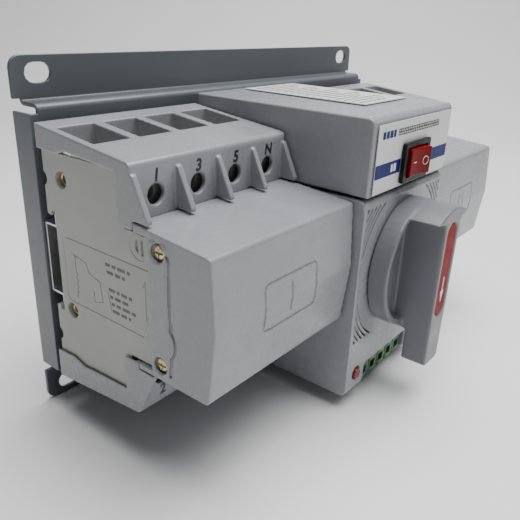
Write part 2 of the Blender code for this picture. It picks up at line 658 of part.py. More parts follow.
def slide_guide():
    """Channel that keeps both racks against the small pinion."""
    back = BEARING_BACK + BEARING_THICK + TOUCH
    inside = RACK_RADIUS + RACK_BODY + 0.4 * MM
    outline = [
        (-inside - 2.5 * MM, back), (inside + 2.5 * MM, back), (inside + 2.5 * MM, RACK_BACK + RACK_THICK),
        (inside, RACK_BACK + RACK_THICK), (inside, RACK_BACK - TOUCH), (-inside, RACK_BACK - TOUCH),
        (-inside, RACK_BACK + RACK_THICK), (-inside - 2.5 * MM, RACK_BACK + RACK_THICK),
    ]
    span = (HANDLE_HEIGHT - 12 * MM, MID_HEIGHT - ARM_ROOM - 0.2 * MM)
    guide = slab("slide_guide", outline, "height", span, NATURAL_NYLON)
    ends = (spot(0, back - MM, HANDLE_HEIGHT), spot(0, RACK_BACK + MM, HANDLE_HEIGHT))
    cut(guide, rod("guide_hole", SHAFT_RADIUS + SHAFT_FIT, *ends, sides=20))
    return guide


def slider(side, sign):
    """Rack on one side of the small pinion, with an arm whose fork works that side's toggles."""
    pitch = math.pi * RACK_MODULE
    lean = math.tan(PRESSURE_ANGLE)
    thick = pitch / 2 - 0.14 * MM
    tip, root = RACK_RADIUS - 0.8 * RACK_MODULE, RACK_RADIUS + 1.1 * RACK_MODULE
    # The pinion has a gap in line with each rack's middle tooth.
    teeth = []
    for tooth in range(-RACK_REACH, RACK_REACH + 1):
        middle = HANDLE_HEIGHT + tooth * pitch
        wide = thick / 2 + (root - RACK_RADIUS) * lean
        narrow = thick / 2 - (RACK_RADIUS - tip) * lean
        teeth += [(root, middle - wide), (tip, middle - narrow)]
        teeth += [(tip, middle + narrow), (root, middle + wide)]
    end = (RACK_REACH + 0.5) * pitch
    body = RACK_RADIUS + RACK_BODY
    outline = [(body, HANDLE_HEIGHT - end), (root, HANDLE_HEIGHT - end), *teeth]
    outline += [(root, HANDLE_HEIGHT + end), (body, HANDLE_HEIGHT + end)]
    outline = [(sign * x, height) for x, height in outline]
    rack = slab(side + "_slider", outline, "depth", (RACK_BACK, RACK_BACK + RACK_THICK), NATURAL_NYLON)
    arm_back = NOSE_DEPTH + 0.5 * MM
    arm_front = arm_back + 4 * MM
    fork_end = INNER_EDGE + 6 * MM
    ends = sorted((sign * (body - MM), sign * fork_end))
    join(rack, block("arm", ends, (arm_back, arm_front), (MID_HEIGHT - ARM_HALF, MID_HEIGHT + ARM_HALF)))
    ends = sorted((sign * (fork_end - 3.5 * MM), sign * fork_end))
    gap = TIE_RADIUS + 0.8 * MM
    fork = TOGGLE_DEPTH + TOGGLE_LENGTH + TIE_RADIUS + MM
    for low in (gap, -gap - 3.4 * MM):
        heights = (MID_HEIGHT + low, MID_HEIGHT + low + 3.4 * MM)
        join(rack, block("finger", ends, (arm_back, fork), heights))
    pivot(side + "_slider_line", spot(0, RACK_BACK, HANDLE_HEIGHT), rack)
    return rack


def gear_motor():
    """Motor behind a round gearbox, both in line with the small driving gear."""
    box_front = BEARING_BACK - TOUCH
    box_back = box_front - 20 * MM
    ends = (spot(0, box_back, MOTOR_HEIGHT), spot(0, box_front, MOTOR_HEIGHT))
    gearbox = rod("motor_gearbox", 13 * MM, *ends, ZINC)
    hole = (spot(0, box_front - 5 * MM, MOTOR_HEIGHT), spot(0, box_front + MM, MOTOR_HEIGHT))
    cut(gearbox, rod("output_hole", SHAFT_RADIUS + SHAFT_FIT, *hole, sides=20))
    motor_front = spot(0, box_back - TOUCH, MOTOR_HEIGHT)
    motor = rod("drive_motor", 11 * MM, spot(0, 9 * MM, MOTOR_HEIGHT), motor_front, ZINC)
    soften(motor, MM)
    soften(gearbox, 0.6 * MM, 1)
    return gearbox, motor


def motor_pinion():
    outline = gear_outline(DRIVE_MODULE, MOTOR_TEETH, (0, MOTOR_HEIGHT), math.pi / 2)
    pinion = slab("motor_pinion", outline, "depth", (GEAR_BACK, GEAR_BACK + GEAR_THICK), BRASS)
    ends = (spot(0, BEARING_BACK - 4 * MM, MOTOR_HEIGHT), spot(0, GEAR_BACK + MM, MOTOR_HEIGHT))
    join(pinion, rod("pinion_shaft", SHAFT_RADIUS, *ends, sides=16))
    pivot("motor_axis", spot(0, GEAR_BACK, MOTOR_HEIGHT), pinion)
    return pinion


def handle_gears():
    """Big gear driven by the motor and the small pinion that moves the racks, both on the handle's shaft."""
    bore_ends = (spot(0, RACK_BACK - 2 * MM, HANDLE_HEIGHT), spot(0, GEAR_BACK + 10 * MM, HANDLE_HEIGHT))
    gap_down = -math.pi / 2 + math.pi / DRIVE_TEETH
    outline = gear_outline(DRIVE_MODULE, DRIVE_TEETH, (0, HANDLE_HEIGHT), gap_down)
    gear = slab("drive_gear", outline, "depth", (GEAR_BACK, GEAR_BACK + GEAR_THICK), NATURAL_NYLON)
    cut(gear, rod("gear_bore", SHAFT_RADIUS + SHAFT_FIT, *bore_ends, sides=16))
    outline = gear_outline(RACK_MODULE, RACK_TEETH, (0, HANDLE_HEIGHT), math.pi / RACK_TEETH)
    pinion = slab("rack_pinion", outline, "depth", (RACK_BACK, RACK_BACK + RACK_THICK), BRASS)
    cut(pinion, rod("pinion_bore", SHAFT_RADIUS + SHAFT_FIT, *bore_ends, sides=16))
    return gear, pinion


def rotary_handle():
    """Round dished knob with a deep grip across it that widens at the top and runs on below the rim."""
    back = UNIT_FRONT + TOUCH
    middle = HANDLE_HEIGHT
    ends = (spot(0, back, middle), spot(0, HANDLE_RIM, middle))
    knob = rod("rotary_handle", HANDLE_RADIUS, *ends, HANDLE_PLASTIC, sides=56)
    dish = HANDLE_RADIUS - RIM_WIDTH
    cut(knob, rod("dish", dish, spot(0, HANDLE_FLOOR, middle), spot(0, HANDLE_RIM + MM, middle), sides=48))
    crown = HANDLE_RADIUS - 0.2 * MM
    shoulder = math.degrees(math.asin(GRIP_SHOULDER / crown))
    foot = middle - GRIP_FOOT
    outline = arc((0, middle), crown, shoulder, 180 - shoulder, 10)
    outline += [
        (-GRIP_HALF_TOP, middle + GRIP_SHOULDER - 0.5 * MM, 2 * MM), (-GRIP_HALF_FOOT, foot, 2 * MM),
        (GRIP_HALF_FOOT, foot, 2 * MM), (GRIP_HALF_TOP, middle + GRIP_SHOULDER - 0.5 * MM, 2 * MM),
    ]
    grip = slab("grip", rounded(outline), "depth", (HANDLE_FLOOR - MM, HANDLE_FRONT))
    below = (foot - 5 * MM, middle - HANDLE_RADIUS - 0.3 * MM)
    cut(grip, block("behind_grip", (-20 * MM, 20 * MM), (UNIT_FRONT, GRIP_BACK), below))
    seat = (HANDLE_FRONT - 1.5 * MM, HANDLE_FRONT + 2 * MM)
    cut(grip, slab("insert_seat", insert_outline(0), "depth", seat))
    join(knob, grip)
    bore = (spot(0, UNIT_FRONT - MM, middle), spot(0, SHAFT_FRONT + TOUCH, middle))
    cut(knob, rod("handle_bore", SHAFT_RADIUS + SHAFT_FIT, *bore, sides=16))
    return knob


def insert_outline(shrink):
    """Long rounded slot on the grip's front."""
    radius = 4.5 * MM - shrink
    high, low = HANDLE_HEIGHT + 16 * MM, HANDLE_HEIGHT - 15 * MM
    return arc((0, high), radius, 0, 180, 8) + arc((0, low), radius, 180, 360, 8)


def handle_insert():
    span = (HANDLE_FRONT - 1.2 * MM, HANDLE_FRONT - 0.3 * MM)
    return slab("handle_insert", insert_outline(TOUCH), "depth", span, RED_PLASTIC)


def handle_shaft():
    ends = (spot(0, BEARING_BACK + 0.2 * MM, HANDLE_HEIGHT), spot(0, SHAFT_FRONT, HANDLE_HEIGHT))
    return rod("handle_shaft", SHAFT_RADIUS, *ends, ZINC, sides=16)


def gear_housing():
    """Deep shell round the gears, with a pocket at its foot for the signal terminals."""
    edge = 3 * MM
    outside = rounded([
        (COVER_BACK, HOUSING_BOTTOM), (UNIT_FRONT, HOUSING_BOTTOM, edge), (UNIT_FRONT, HOUSING_TOP, edge),
        (COVER_BACK, HOUSING_TOP),
    ])
    shell = slab("gear_housing", outside, "x", (-HALF_DRIVE, HALF_DRIVE), COVER_PLASTIC)
    inside = HALF_DRIVE - WALL
    low, high = HOUSING_BOTTOM + WALL, HOUSING_TOP - WALL
    cut(shell, block("gear_room", (-inside, inside), (COVER_BACK - MM, UNIT_FRONT - WALL), (low, high)))
    liner = NOTCH_HALF + 1.5 * MM
    depths = (NOTCH_BACK - 1.5 * MM, UNIT_FRONT - MM)
    join(shell, block("pocket_liner", (-liner, liner), depths, (HOUSING_BOTTOM + MM, NOTCH_TOP + 1.5 * MM)))
    pocket = rectangle((-NOTCH_HALF, NOTCH_HALF), (0, NOTCH_TOP), MM)
    cut(shell, slab("terminal_pocket", pocket, "depth", (NOTCH_BACK, UNIT_FRONT + 5 * MM)))
    ends = (spot(0, UNIT_FRONT - 5 * MM, HANDLE_HEIGHT), spot(0, UNIT_FRONT + MM, HANDLE_HEIGHT))
    cut(shell, rod("shaft_hole", SHAFT_RADIUS + SHAFT_FIT, *ends, sides=20))
    for x in (-LED_X, LED_X):
        ends = (spot(x, UNIT_FRONT - 5 * MM, LED_HEIGHT), spot(x, UNIT_FRONT + MM, LED_HEIGHT))
        cut(shell, rod("led_hole", LED_RADIUS + TOUCH, *ends, sides=16))
    heights = (MID_HEIGHT - ARM_ROOM, MID_HEIGHT + ARM_ROOM)
    across = (-HALF_DRIVE - MM, HALF_DRIVE + MM)
    cut(shell, block("arm_slots", across, (RACK_BACK, RACK_BACK + RACK_THICK), heights))
    return shell


def led(side, sign):
    x = sign * LED_X
    ends = (spot(x, UNIT_FRONT - 6 * MM, LED_HEIGHT), spot(x, UNIT_FRONT + 0.8 * MM, LED_HEIGHT))
    lens = rod("led_" + side, LED_RADIUS, *ends, LENS_RED, sides=16)
    soften(lens, 0.8 * MM)
    return lens


def terminal_block():
    """Signal terminals in the pocket, with a wire entry in front of each."""
    half = TERMINALS * TERMINAL_PITCH / 2
    depths = (NOTCH_BACK + TOUCH, UNIT_FRONT - 2 * MM)
    heights = (HOUSING_BOTTOM + 0.4 * MM, NOTCH_TOP - 0.4 * MM)
    body = block("signal_terminals", (-half, half), depths, heights, TERMINAL_GREEN)
    for place_number in range(TERMINALS):
        x = (place_number - (TERMINALS - 1) / 2) * TERMINAL_PITCH
        entry = (x - 1.9 * MM, x + 1.9 * MM)
        middle = (heights[0] + heights[1]) / 2 - MM
        span = (middle - 1.8 * MM, middle + 1.8 * MM)
        cut(body, block("wire_entry", entry, (depths[1] - 8 * MM, depths[1] + MM), span))
    return body


def microswitch(side, sign):
    """End-of-travel switch on the bearing plate."""
    depths = (BEARING_BACK + BEARING_THICK + TOUCH, BEARING_BACK + 9 * MM)
    x = sorted((sign * 18 * MM, sign * 28 * MM))
    body = block("travel_switch_" + side, x, depths, (28 * MM, 42 * MM), DARK_PLASTIC)
    lever = sorted((sign * 16.6 * MM, sign * 18.2 * MM))
    join(body, block("switch_lever", lever, (depths[0] + 2 * MM, depths[1] - 2 * MM), (31 * MM, 33 * MM)))
    return body


# Controller

def controller_cover():
    """Flat box above the gear housing, open underneath, with an opening for the rocker."""
    edge = 2.5 * MM
    outside = rounded([
        (COVER_BACK, CONTROLLER_BOTTOM), (UNIT_FRONT, CONTROLLER_BOTTOM), (UNIT_FRONT, CONTROLLER_TOP, edge),
        (COVER_BACK, CONTROLLER_TOP),
    ])
    shell = slab("controller_cover", outside, "x", (-HALF_DRIVE, HALF_DRIVE), COVER_PLASTIC)
    inside = HALF_DRIVE - WALL
    heights = (CONTROLLER_BOTTOM - MM, CONTROLLER_TOP - WALL)
    cut(shell, block("board_room", (-inside, inside), (COVER_BACK + WALL, UNIT_FRONT - WALL), heights))
    opening = (ROCKER_X - NECK_HALF_WIDTH - TOUCH, ROCKER_X + NECK_HALF_WIDTH + TOUCH)
    heights = (ROCKER_HEIGHT - NECK_HALF_HEIGHT - TOUCH, ROCKER_HEIGHT + NECK_HALF_HEIGHT + TOUCH)
    cut(shell, block("rocker_opening", opening, (UNIT_FRONT - 5 * MM, UNIT_FRONT + MM), heights))
    return shell


def front_label():
    front = UNIT_FRONT + TOUCH
    half = HALF_DRIVE - 2.6 * MM
    outline = rectangle((-half, half), (CONTROLLER_BOTTOM + 0.6 * MM, CONTROLLER_TOP - 2.4 * MM), 0.6 * MM)
    label = slab("front_label", outline, "depth", (front, front + LABEL_THICK), LABEL)
    opening = (ROCKER_X - NECK_HALF_WIDTH - TOUCH, ROCKER_X + NECK_HALF_WIDTH + TOUCH)
    heights = (ROCKER_HEIGHT - NECK_HALF_HEIGHT - TOUCH, ROCKER_HEIGHT + NECK_HALF_HEIGHT + TOUCH)
    cut(label, block("label_opening", opening, (front - MM, front + 2 * MM), heights))
    return label


def rating_label():
    top = CONTROLLER_TOP + TOUCH
    outline = rectangle((-9 * MM, 27 * MM), (8 * MM, 68 * MM), 0.6 * MM)
    return slab("rating_label", outline, "height", (top, top + LABEL_THICK), LABEL)


def rocker_bezel():
    """Black frame that snaps into the controller's front."""
    flange = UNIT_FRONT + 2 * TOUCH + LABEL_THICK
    outline = rectangle(
        (ROCKER_X - BEZEL_HALF_WIDTH, ROCKER_X + BEZEL_HALF_WIDTH),
        (ROCKER_HEIGHT - BEZEL_HALF_HEIGHT, ROCKER_HEIGHT + BEZEL_HALF_HEIGHT), 0.8 * MM,
    )
    bezel = slab("rocker_bezel", outline, "depth", (flange, flange + 1.6 * MM), DARK_PLASTIC)
    neck_x = (ROCKER_X - NECK_HALF_WIDTH, ROCKER_X + NECK_HALF_WIDTH)
    neck_z = (ROCKER_HEIGHT - NECK_HALF_HEIGHT, ROCKER_HEIGHT + NECK_HALF_HEIGHT)
    join(bezel, block("neck", neck_x, (UNIT_FRONT - 12 * MM, flange + 0.5 * MM), neck_z))
    room_x = (ROCKER_X - ROCKER_ROOM_HALF, ROCKER_X + ROCKER_ROOM_HALF)
    room_z = (ROCKER_HEIGHT - ROCKER_HALF_HEIGHT - 0.4 * MM, ROCKER_HEIGHT + ROCKER_HALF_HEIGHT + 0.4 * MM)
    cut(bezel, block("rocker_room", room_x, (UNIT_FRONT - 10 * MM, flange + 3 * MM), room_z))
    return bezel


def rocker_button():
    """Rocker that tips about an upright pin; its right half stands out."""
    axis = UNIT_FRONT - 2.5 * MM
    level = [
        (-ROCKER_CORNER_X, ROCKER_CORNER_OUT, 0.5 * MM), (0, ROCKER_CORNER_OUT - 0.8 * MM),
        (ROCKER_CORNER_X, ROCKER_CORNER_OUT, 0.5 * MM),
        (4.6 * MM, -1.5 * MM), (0, -3.5 * MM), (-4.6 * MM, -1.5 * MM),
    ]
    tipped = []
    for x, out, *radius in level:
        across = x * math.cos(ROCKER_SWING) - out * math.sin(ROCKER_SWING)
        forward = x * math.sin(ROCKER_SWING) + out * math.cos(ROCKER_SWING)
        tipped.append((ROCKER_X + across, axis + forward, *radius))
    span = (ROCKER_HEIGHT - ROCKER_HALF_HEIGHT, ROCKER_HEIGHT + ROCKER_HALF_HEIGHT)
    rocker = slab("rocker_button", rounded(tipped), "height", span, RED_PLASTIC)
    pivot("rocker_axis", spot(ROCKER_X, axis, ROCKER_HEIGHT), rocker)
    return rocker


def controller_insides():
    """Circuit board with its transformer and relays."""
    half = HALF_DRIVE - WALL - 2 * MM
    low = CONTROLLER_BOTTOM + 1.2 * MM
    top = low + 1.6 * MM
    back = COVER_BACK + WALL + 2 * MM
    board = block("controller_board", (-half, half), (back, 72 * MM), (low, top), BOARD_GREEN)
    seat = top + TOUCH
    depth, height = (14 * MM, 38 * MM), (seat, seat + 18 * MM)
    soften(block("supply_transformer", (-28 * MM, -6 * MM), depth, height, DARK_PLASTIC), 0.6 * MM, 1)
    for number, start in ((1, 12 * MM), (2, 29 * MM)):
        depth, height = (start, start + 14 * MM), (seat, seat + 14 * MM)
        soften(block(f"relay_{number}", (6 * MM, 24 * MM), depth, height, DARK_PLASTIC), 0.6 * MM, 1)
    return board


def build():
    start_clean()
    mounting_plate()
    for side, sign in SIDES.items():
        din_rail(side, sign)
        for number in range(1, POLES + 1):
            breaker_pole(side, sign, number)
        for row in ("upper", "lower"):
            terminal_cover(side, sign, row)
            strap_screw(side, sign, row)
        front_cover(side, sign)
        toggle_bar(side, sign)
        slider(side, sign)
        led(side, sign)
        microswitch(side, sign)
    drive_base()
    bearing_plate()
    slide_guide()
    gear_motor()
    motor_pinion()
    turning = (rotary_handle(), handle_insert(), handle_shaft(), *handle_gears())
    pivot("handle_axis", spot(0, UNIT_FRONT, HANDLE_HEIGHT), *turning)
    gear_housing()
    terminal_block()
    controller_cover()
    controller_insides()
    front_label()
    rating_label()
    rocker_bezel()
    rocker_button()


build()
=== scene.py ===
# %% [markdown]
# # A changeover switch, finished for the camera
# The real thing is two four-pole breakers on one bent steel plate. Between them a small geared drive with a
# rotary handle throws one on and the other off, and a flat control box sits above the drive. The packed
# model already holds every solid at its true size, so this lesson only adds what makes it look real: eased
# edges, engraved lines, small fittings, and a finish for each plastic, metal and label.

# %% Load the frame
import json
import math
import random

import bmesh
import bpy
from mathutils import Matrix, Vector


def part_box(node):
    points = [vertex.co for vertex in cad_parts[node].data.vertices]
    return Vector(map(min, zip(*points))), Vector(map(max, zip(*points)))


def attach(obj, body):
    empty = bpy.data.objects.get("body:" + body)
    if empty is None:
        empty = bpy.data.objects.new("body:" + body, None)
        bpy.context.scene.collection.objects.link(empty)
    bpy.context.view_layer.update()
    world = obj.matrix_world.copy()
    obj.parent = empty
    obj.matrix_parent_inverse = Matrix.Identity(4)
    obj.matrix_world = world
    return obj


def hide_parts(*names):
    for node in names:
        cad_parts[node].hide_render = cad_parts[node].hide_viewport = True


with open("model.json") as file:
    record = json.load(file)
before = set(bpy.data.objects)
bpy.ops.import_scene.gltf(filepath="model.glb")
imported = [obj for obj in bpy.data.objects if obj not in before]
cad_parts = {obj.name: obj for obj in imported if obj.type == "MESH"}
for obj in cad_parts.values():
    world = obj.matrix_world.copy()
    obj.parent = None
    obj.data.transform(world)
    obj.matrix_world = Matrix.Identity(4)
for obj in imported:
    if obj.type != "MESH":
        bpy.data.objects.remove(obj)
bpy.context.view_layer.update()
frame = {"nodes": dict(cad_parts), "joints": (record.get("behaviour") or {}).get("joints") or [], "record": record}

# %% [markdown]
# ## Where things are
# All places below are in millimetres, measured along the plate, forward from the front of its raised panel,
# and up from its foot. One small function turns such a triple into a point. Faces that pieces sit on are
# read from the frame, so nothing is fitted by eye.

# %% Places
MM = 0.001
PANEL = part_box("mounting_plate")[0].y
SIDES = {"left": -1, "right": 1}


def at(x, depth, height):
    return Vector((x * MM, PANEL - depth * MM, height * MM))


def limits(node):
    """A node's box as ((x, x), (depth, depth), (height, height)), in millimetres."""
    low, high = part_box(node)
    return (
        (low.x / MM, high.x / MM), ((PANEL - high.y) / MM, (PANEL - low.y) / MM),
        (low.z / MM, high.z / MM),
    )


UNIT_FRONT = limits("gear_housing")[1][1]
HANDLE_AT = next(Vector(j["pos_m"]).z for j in frame["joints"] if j["name"] == "handle_turn") / MM
MIDDLE = next(Vector(j["pos_m"]).z for j in frame["joints"] if j["name"] == "left_toggle_turn") / MM
print("unit front", round(UNIT_FRONT, 1))
print("handle axis", round(HANDLE_AT, 1), "breaker middle", round(MIDDLE, 1))

# %% [markdown]
# ## Making shapes
# Moulded parts are flat outlines with depth, so one helper fills an outline and draws it out. Grooves and
# ring shapes are tubes along a line. Everything else is a copy of a frame solid that gets cut and eased.

# %% Outlines
def arc(centre, radius, start, end, steps):
    """Points of a circle between two angles in degrees."""
    angles = [math.radians(start + (end - start) * step / steps) for step in range(steps + 1)]
    return [(centre[0] + radius * math.cos(a), centre[1] + radius * math.sin(a)) for a in angles]


def rounded_box(u, v, radius, steps=6):
    """A rectangle's outline with round corners."""
    points = []
    for cu, cv, start in (
        (u[1] - radius, v[1] - radius, 0), (u[0] + radius, v[1] - radius, 90),
        (u[0] + radius, v[0] + radius, 180), (u[1] - radius, v[0] + radius, 270),
    ):
        points += arc((cu, cv), radius, start, start + 90, steps)
    return points


def on_front(outline, depth):
    return [at(x, depth, height) for x, height in outline]


def on_side(outline, x):
    return [at(x, depth, height) for depth, height in outline]


# %% Solids from outlines
FORWARD = Vector((0, -1, 0)) * MM
UP = Vector((0, 0, 1)) * MM
RIGHT = Vector((1, 0, 0)) * MM


def piece_of(name, shape):
    bmesh.ops.recalc_face_normals(shape, faces=shape.faces)
    mesh = bpy.data.meshes.new(name)
    shape.to_mesh(mesh)
    shape.free()
    piece = bpy.data.objects.new(name, mesh)
    bpy.context.scene.collection.objects.link(piece)
    return piece


def slabs(name, outlines, rise):
    """One piece made of flat outlines, each drawn out by the same rise."""
    shape = bmesh.new()
    for points in outlines:
        face = shape.faces.new([shape.verts.new(point) for point in points])
        grown = bmesh.ops.extrude_face_region(shape, geom=[face])
        corners = [corner for corner in grown["geom"] if isinstance(corner, bmesh.types.BMVert)]
        bmesh.ops.translate(shape, vec=rise, verts=corners)
    return piece_of(name, shape)


# %% Tubes, cuts and eased edges
def settle(piece):
    """Turns a piece's modifiers into plain mesh."""
    bpy.context.view_layer.update()
    mesh = bpy.data.meshes.new_from_object(piece.evaluated_get(bpy.context.evaluated_depsgraph_get()))
    piece.modifiers.clear()
    piece.data = mesh
    return piece


def tubes(name, lines, radius, closed=False, sides=2):
    """One mesh of round tubes along lines of points, capped at their ends."""
    curve = bpy.data.curves.new(name, "CURVE")
    curve.dimensions = "3D"
    curve.bevel_depth = radius * MM
    curve.bevel_resolution = sides
    curve.use_fill_caps = True
    for points in lines:
        spline = curve.splines.new("POLY")
        spline.points.add(len(points) - 1)
        for corner, point in zip(spline.points, points):
            corner.co = (*point, 1)
        spline.use_cyclic_u = closed
    sketch = bpy.data.objects.new(name, curve)
    bpy.context.scene.collection.objects.link(sketch)
    bpy.context.view_layer.update()
    mesh = bpy.data.meshes.new_from_object(sketch.evaluated_get(bpy.context.evaluated_depsgraph_get()))
    shape = bmesh.new()
    shape.from_mesh(mesh)
    bmesh.ops.remove_doubles(shape, verts=shape.verts, dist=0.001 * MM)
    bpy.data.objects.remove(sketch)
    return piece_of(name, shape)


def carve(piece, tool, crossing=False):
    """Cuts a tool away. A tool whose own parts cross each other takes a slower, safer way."""
    step = piece.modifiers.new("carve", "BOOLEAN")
    step.object = tool
    step.solver = "EXACT"
    step.use_self = crossing
    settle(piece)
    bpy.data.objects.remove(tool)
    if not piece.data.polygons:
        raise RuntimeError(piece.name + " was cut away entirely")


def ease(piece, width, segments):
    """Bevels every edge that turns by more than 42 degrees."""
    step = piece.modifiers.new("edges", "BEVEL")
    step.width = width * MM
    step.segments = segments
    step.limit_method = "ANGLE"
    step.angle_limit = math.radians(42)
    step.use_clamp_overlap = False
    settle(piece)


def smooth(piece):
    """Even shading: large flat faces decide the direction, so eased edges catch a clean line of light."""
    piece.data.shade_smooth()
    step = piece.modifiers.new("even_shading", "WEIGHTED_NORMAL")
    step.keep_sharp = False
    settle(piece)


# %% A copy of a frame solid
def copy_of(node):
    """The node's solid with its triangles merged back into flat faces."""
    shape = bmesh.new()
    shape.from_mesh(frame["nodes"][node].data)
    bmesh.ops.remove_doubles(shape, verts=shape.verts, dist=0.002 * MM)
    bmesh.ops.dissolve_limit(shape, angle_limit=math.radians(0.6), verts=shape.verts, edges=shape.edges)
    return piece_of(node + "_finished", shape)


def dress(piece, finish, body, slot, *nodes):
    piece.data.materials.clear()
    piece.data.materials.append(finish)
    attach(piece, body)
    if nodes:
        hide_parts(*nodes)
    return piece


SLOT_OF = {row["node"]: row["material_slot"] for row in frame["record"]["subparts"]}
BODY_OF = {
    node: body for body, nodes in frame["record"]["behaviour"]["bodies"].items() for node in nodes
}


def refine(node, finish, width, segments=2, cuts=()):
    """Eases a frame solid's edges, cuts fine detail into it and dresses it."""
    piece = copy_of(node)
    ease(piece, width, segments)
    for tool in cuts:
        carve(piece, tool)
    smooth(piece)
    return dress(piece, finish, BODY_OF[node], SLOT_OF[node], node)


# %% [markdown]
# A bevel runs into itself where steps are thinner than the bevel, as on the handle, the strap and the ribs.
# Rebuilding those solids as an even skin and relaxing it rounds every corner alike, as a polished mould
# does. Flat stretches then give up the faces they don't need.

# %% Soft corners
def soften(node, finish, grid, rounds, keep=0.2, cuts=()):
    """Gives a frame solid an even skin, relaxes it, thins it to a share of its faces and cuts it."""
    piece = copy_of(node)
    skin = piece.modifiers.new("skin", "REMESH")
    skin.mode = "VOXEL"
    skin.voxel_size = grid * MM
    relax = piece.modifiers.new("relax", "SMOOTH")
    relax.factor = 0.5
    relax.iterations = rounds
    spare = piece.modifiers.new("spare", "DECIMATE")
    spare.ratio = keep
    settle(piece)
    for tool in cuts:
        carve(piece, tool)
    smooth(piece)
    return dress(piece, finish, BODY_OF[node], SLOT_OF[node], node)


# %% [markdown]
# ## Finishes
# Plastic is never one flat colour. Each finish is a small node tree: slow clouds of tone, fine grain that
# only bends the light, a roughness that wanders, edges rubbed a little paler, and a few specks of dust.
# The same function makes every moulded plastic, and its arguments say what is special about each one.

# %% A small way to add nodes
def new_finish(name):
    finish = bpy.data.materials.new(name)
    finish.use_nodes = True
    return finish, finish.node_tree.nodes["Principled BSDF"]


def add(finish, kind, inputs=None, **settings):
    """Adds a shader node. Inputs are numbers, colours, or other nodes' outputs."""
    made = finish.node_tree.nodes.new("ShaderNode" + kind)
    for key, value in settings.items():
        setattr(made, key, value)
    for socket, value in (inputs or {}).items():
        if isinstance(value, bpy.types.NodeSocket):
            finish.node_tree.links.new(value, made.inputs[socket])
        else:
            made.inputs[socket].default_value = value
    return made


def plug(finish, shader, socket, output):
    finish.node_tree.links.new(output, shader.inputs[socket])


def shade(colour, factor):
    return (*(min(channel * factor, 1) for channel in colour), 1)


def mix(finish, factor, first, second):
    """Blends two colours. On this node the colour inputs are numbers 6 and 7 and the result is 2."""
    return add(finish, "Mix", {0: factor, 6: first, 7: second}, data_type="RGBA").outputs[2]


def spread(finish, value, low, high, to_low, to_high):
    made = add(finish, "MapRange", {0: value, 1: low, 2: high, 3: to_low, 4: to_high})
    return made.outputs[0]


def noise(finish, where, size, detail=3, stretch=None):
    """Noise whose blobs are about this many millimetres across."""
    if stretch:
        where = add(finish, "Mapping", {"Vector": where, "Scale": stretch}).outputs[0]
    made = add(finish, "TexNoise", {"Vector": where, "Scale": 1000 / size, "Detail": detail})
    return made.outputs["Fac"]


# %% Moulded plastics
def moulded(
    name, colour, roughness, grain=0.4, depth=0.012, cloud=0.05, streaks=0.0, rub=0.12, dust=0.25,
    gloss=0.5,
):
    finish, shader = new_finish(name)
    shader.inputs["Specular IOR Level"].default_value = gloss
    where = add(finish, "TexCoord").outputs["Object"]
    clouds = noise(finish, where, 22, 5)
    drift = spread(finish, clouds, 0.3, 0.7, 0, 1)
    tone = mix(finish, drift, shade(colour, 1 - cloud), shade(colour, 1 + cloud))
    if streaks:
        flow = noise(finish, where, 9, 3, (1, 0.12, 1))
        tone = mix(finish, spread(finish, flow, 0.55, 0.75, 0, streaks), tone, shade(colour, 1.25))
    pale_edges = spread(finish, add(finish, "NewGeometry").outputs["Pointiness"], 0.52, 0.62, 0, rub)
    tone = mix(finish, pale_edges, tone, shade(colour, 1.6))
    cells = add(finish, "TexVoronoi", {"Vector": where, "Scale": 1000 / 7})
    picked = add(finish, "Math", {0: cells.outputs["Color"], 1: 0.8}, operation="GREATER_THAN").outputs[0]
    dot = spread(finish, cells.outputs["Distance"], 0.02, 0.035, dust, 0)
    speck = add(finish, "Math", {0: picked, 1: dot}, operation="MULTIPLY").outputs[0]
    plug(finish, shader, "Base Color", mix(finish, speck, tone, shade(colour, 0.35)))
    patches = noise(finish, where, 5, 4)
    rough = spread(finish, patches, 0.3, 0.7, roughness - 0.06, roughness + 0.06)
    plug(finish, shader, "Roughness", rough)
    height = noise(finish, where, grain, 2)
    bump = add(finish, "Bump", {"Height": height, "Strength": 0.35, "Distance": depth * MM})
    plug(finish, shader, "Normal", bump.outputs[0])
    return finish


COVER = moulded("cover_grey", (0.265, 0.27, 0.285), 0.27, streaks=0.25, gloss=0.6)
HANDLE = moulded("handle_grey", (0.165, 0.167, 0.178), 0.36, streaks=0.12, gloss=0.4)
POLE = moulded("breaker_grey_green", (0.39, 0.40, 0.365), 0.55, grain=0.3, depth=0.03, rub=0.06)
DARK = moulded("black_plastic", (0.008, 0.008, 0.009), 0.42, cloud=0.2, rub=0.02, dust=0.0, gloss=0.2)
RED = moulded("red_rocker", (0.17, 0.002, 0.003), 0.35, grain=0.8, cloud=0.08, rub=0.02, dust=0.0, gloss=0.08)
INSERT = moulded("red_insert", (0.22, 0.006, 0.007), 0.5, cloud=0.1, rub=0.02, gloss=0.08)
GREEN = moulded("terminal_green", (0.028, 0.11, 0.04), 0.38, cloud=0.12, rub=0.1)
NYLON = moulded("natural_nylon", (0.62, 0.59, 0.5), 0.45, cloud=0.05)
print("moulded plastics:", len(bpy.data.materials))

# %% [markdown]
# Paint on sheet steel has orange peel: a soft ripple of a millimetre or two under a clear gloss. The dust
# that settles on it is paler than the paint, the opposite of dust on grey plastic.

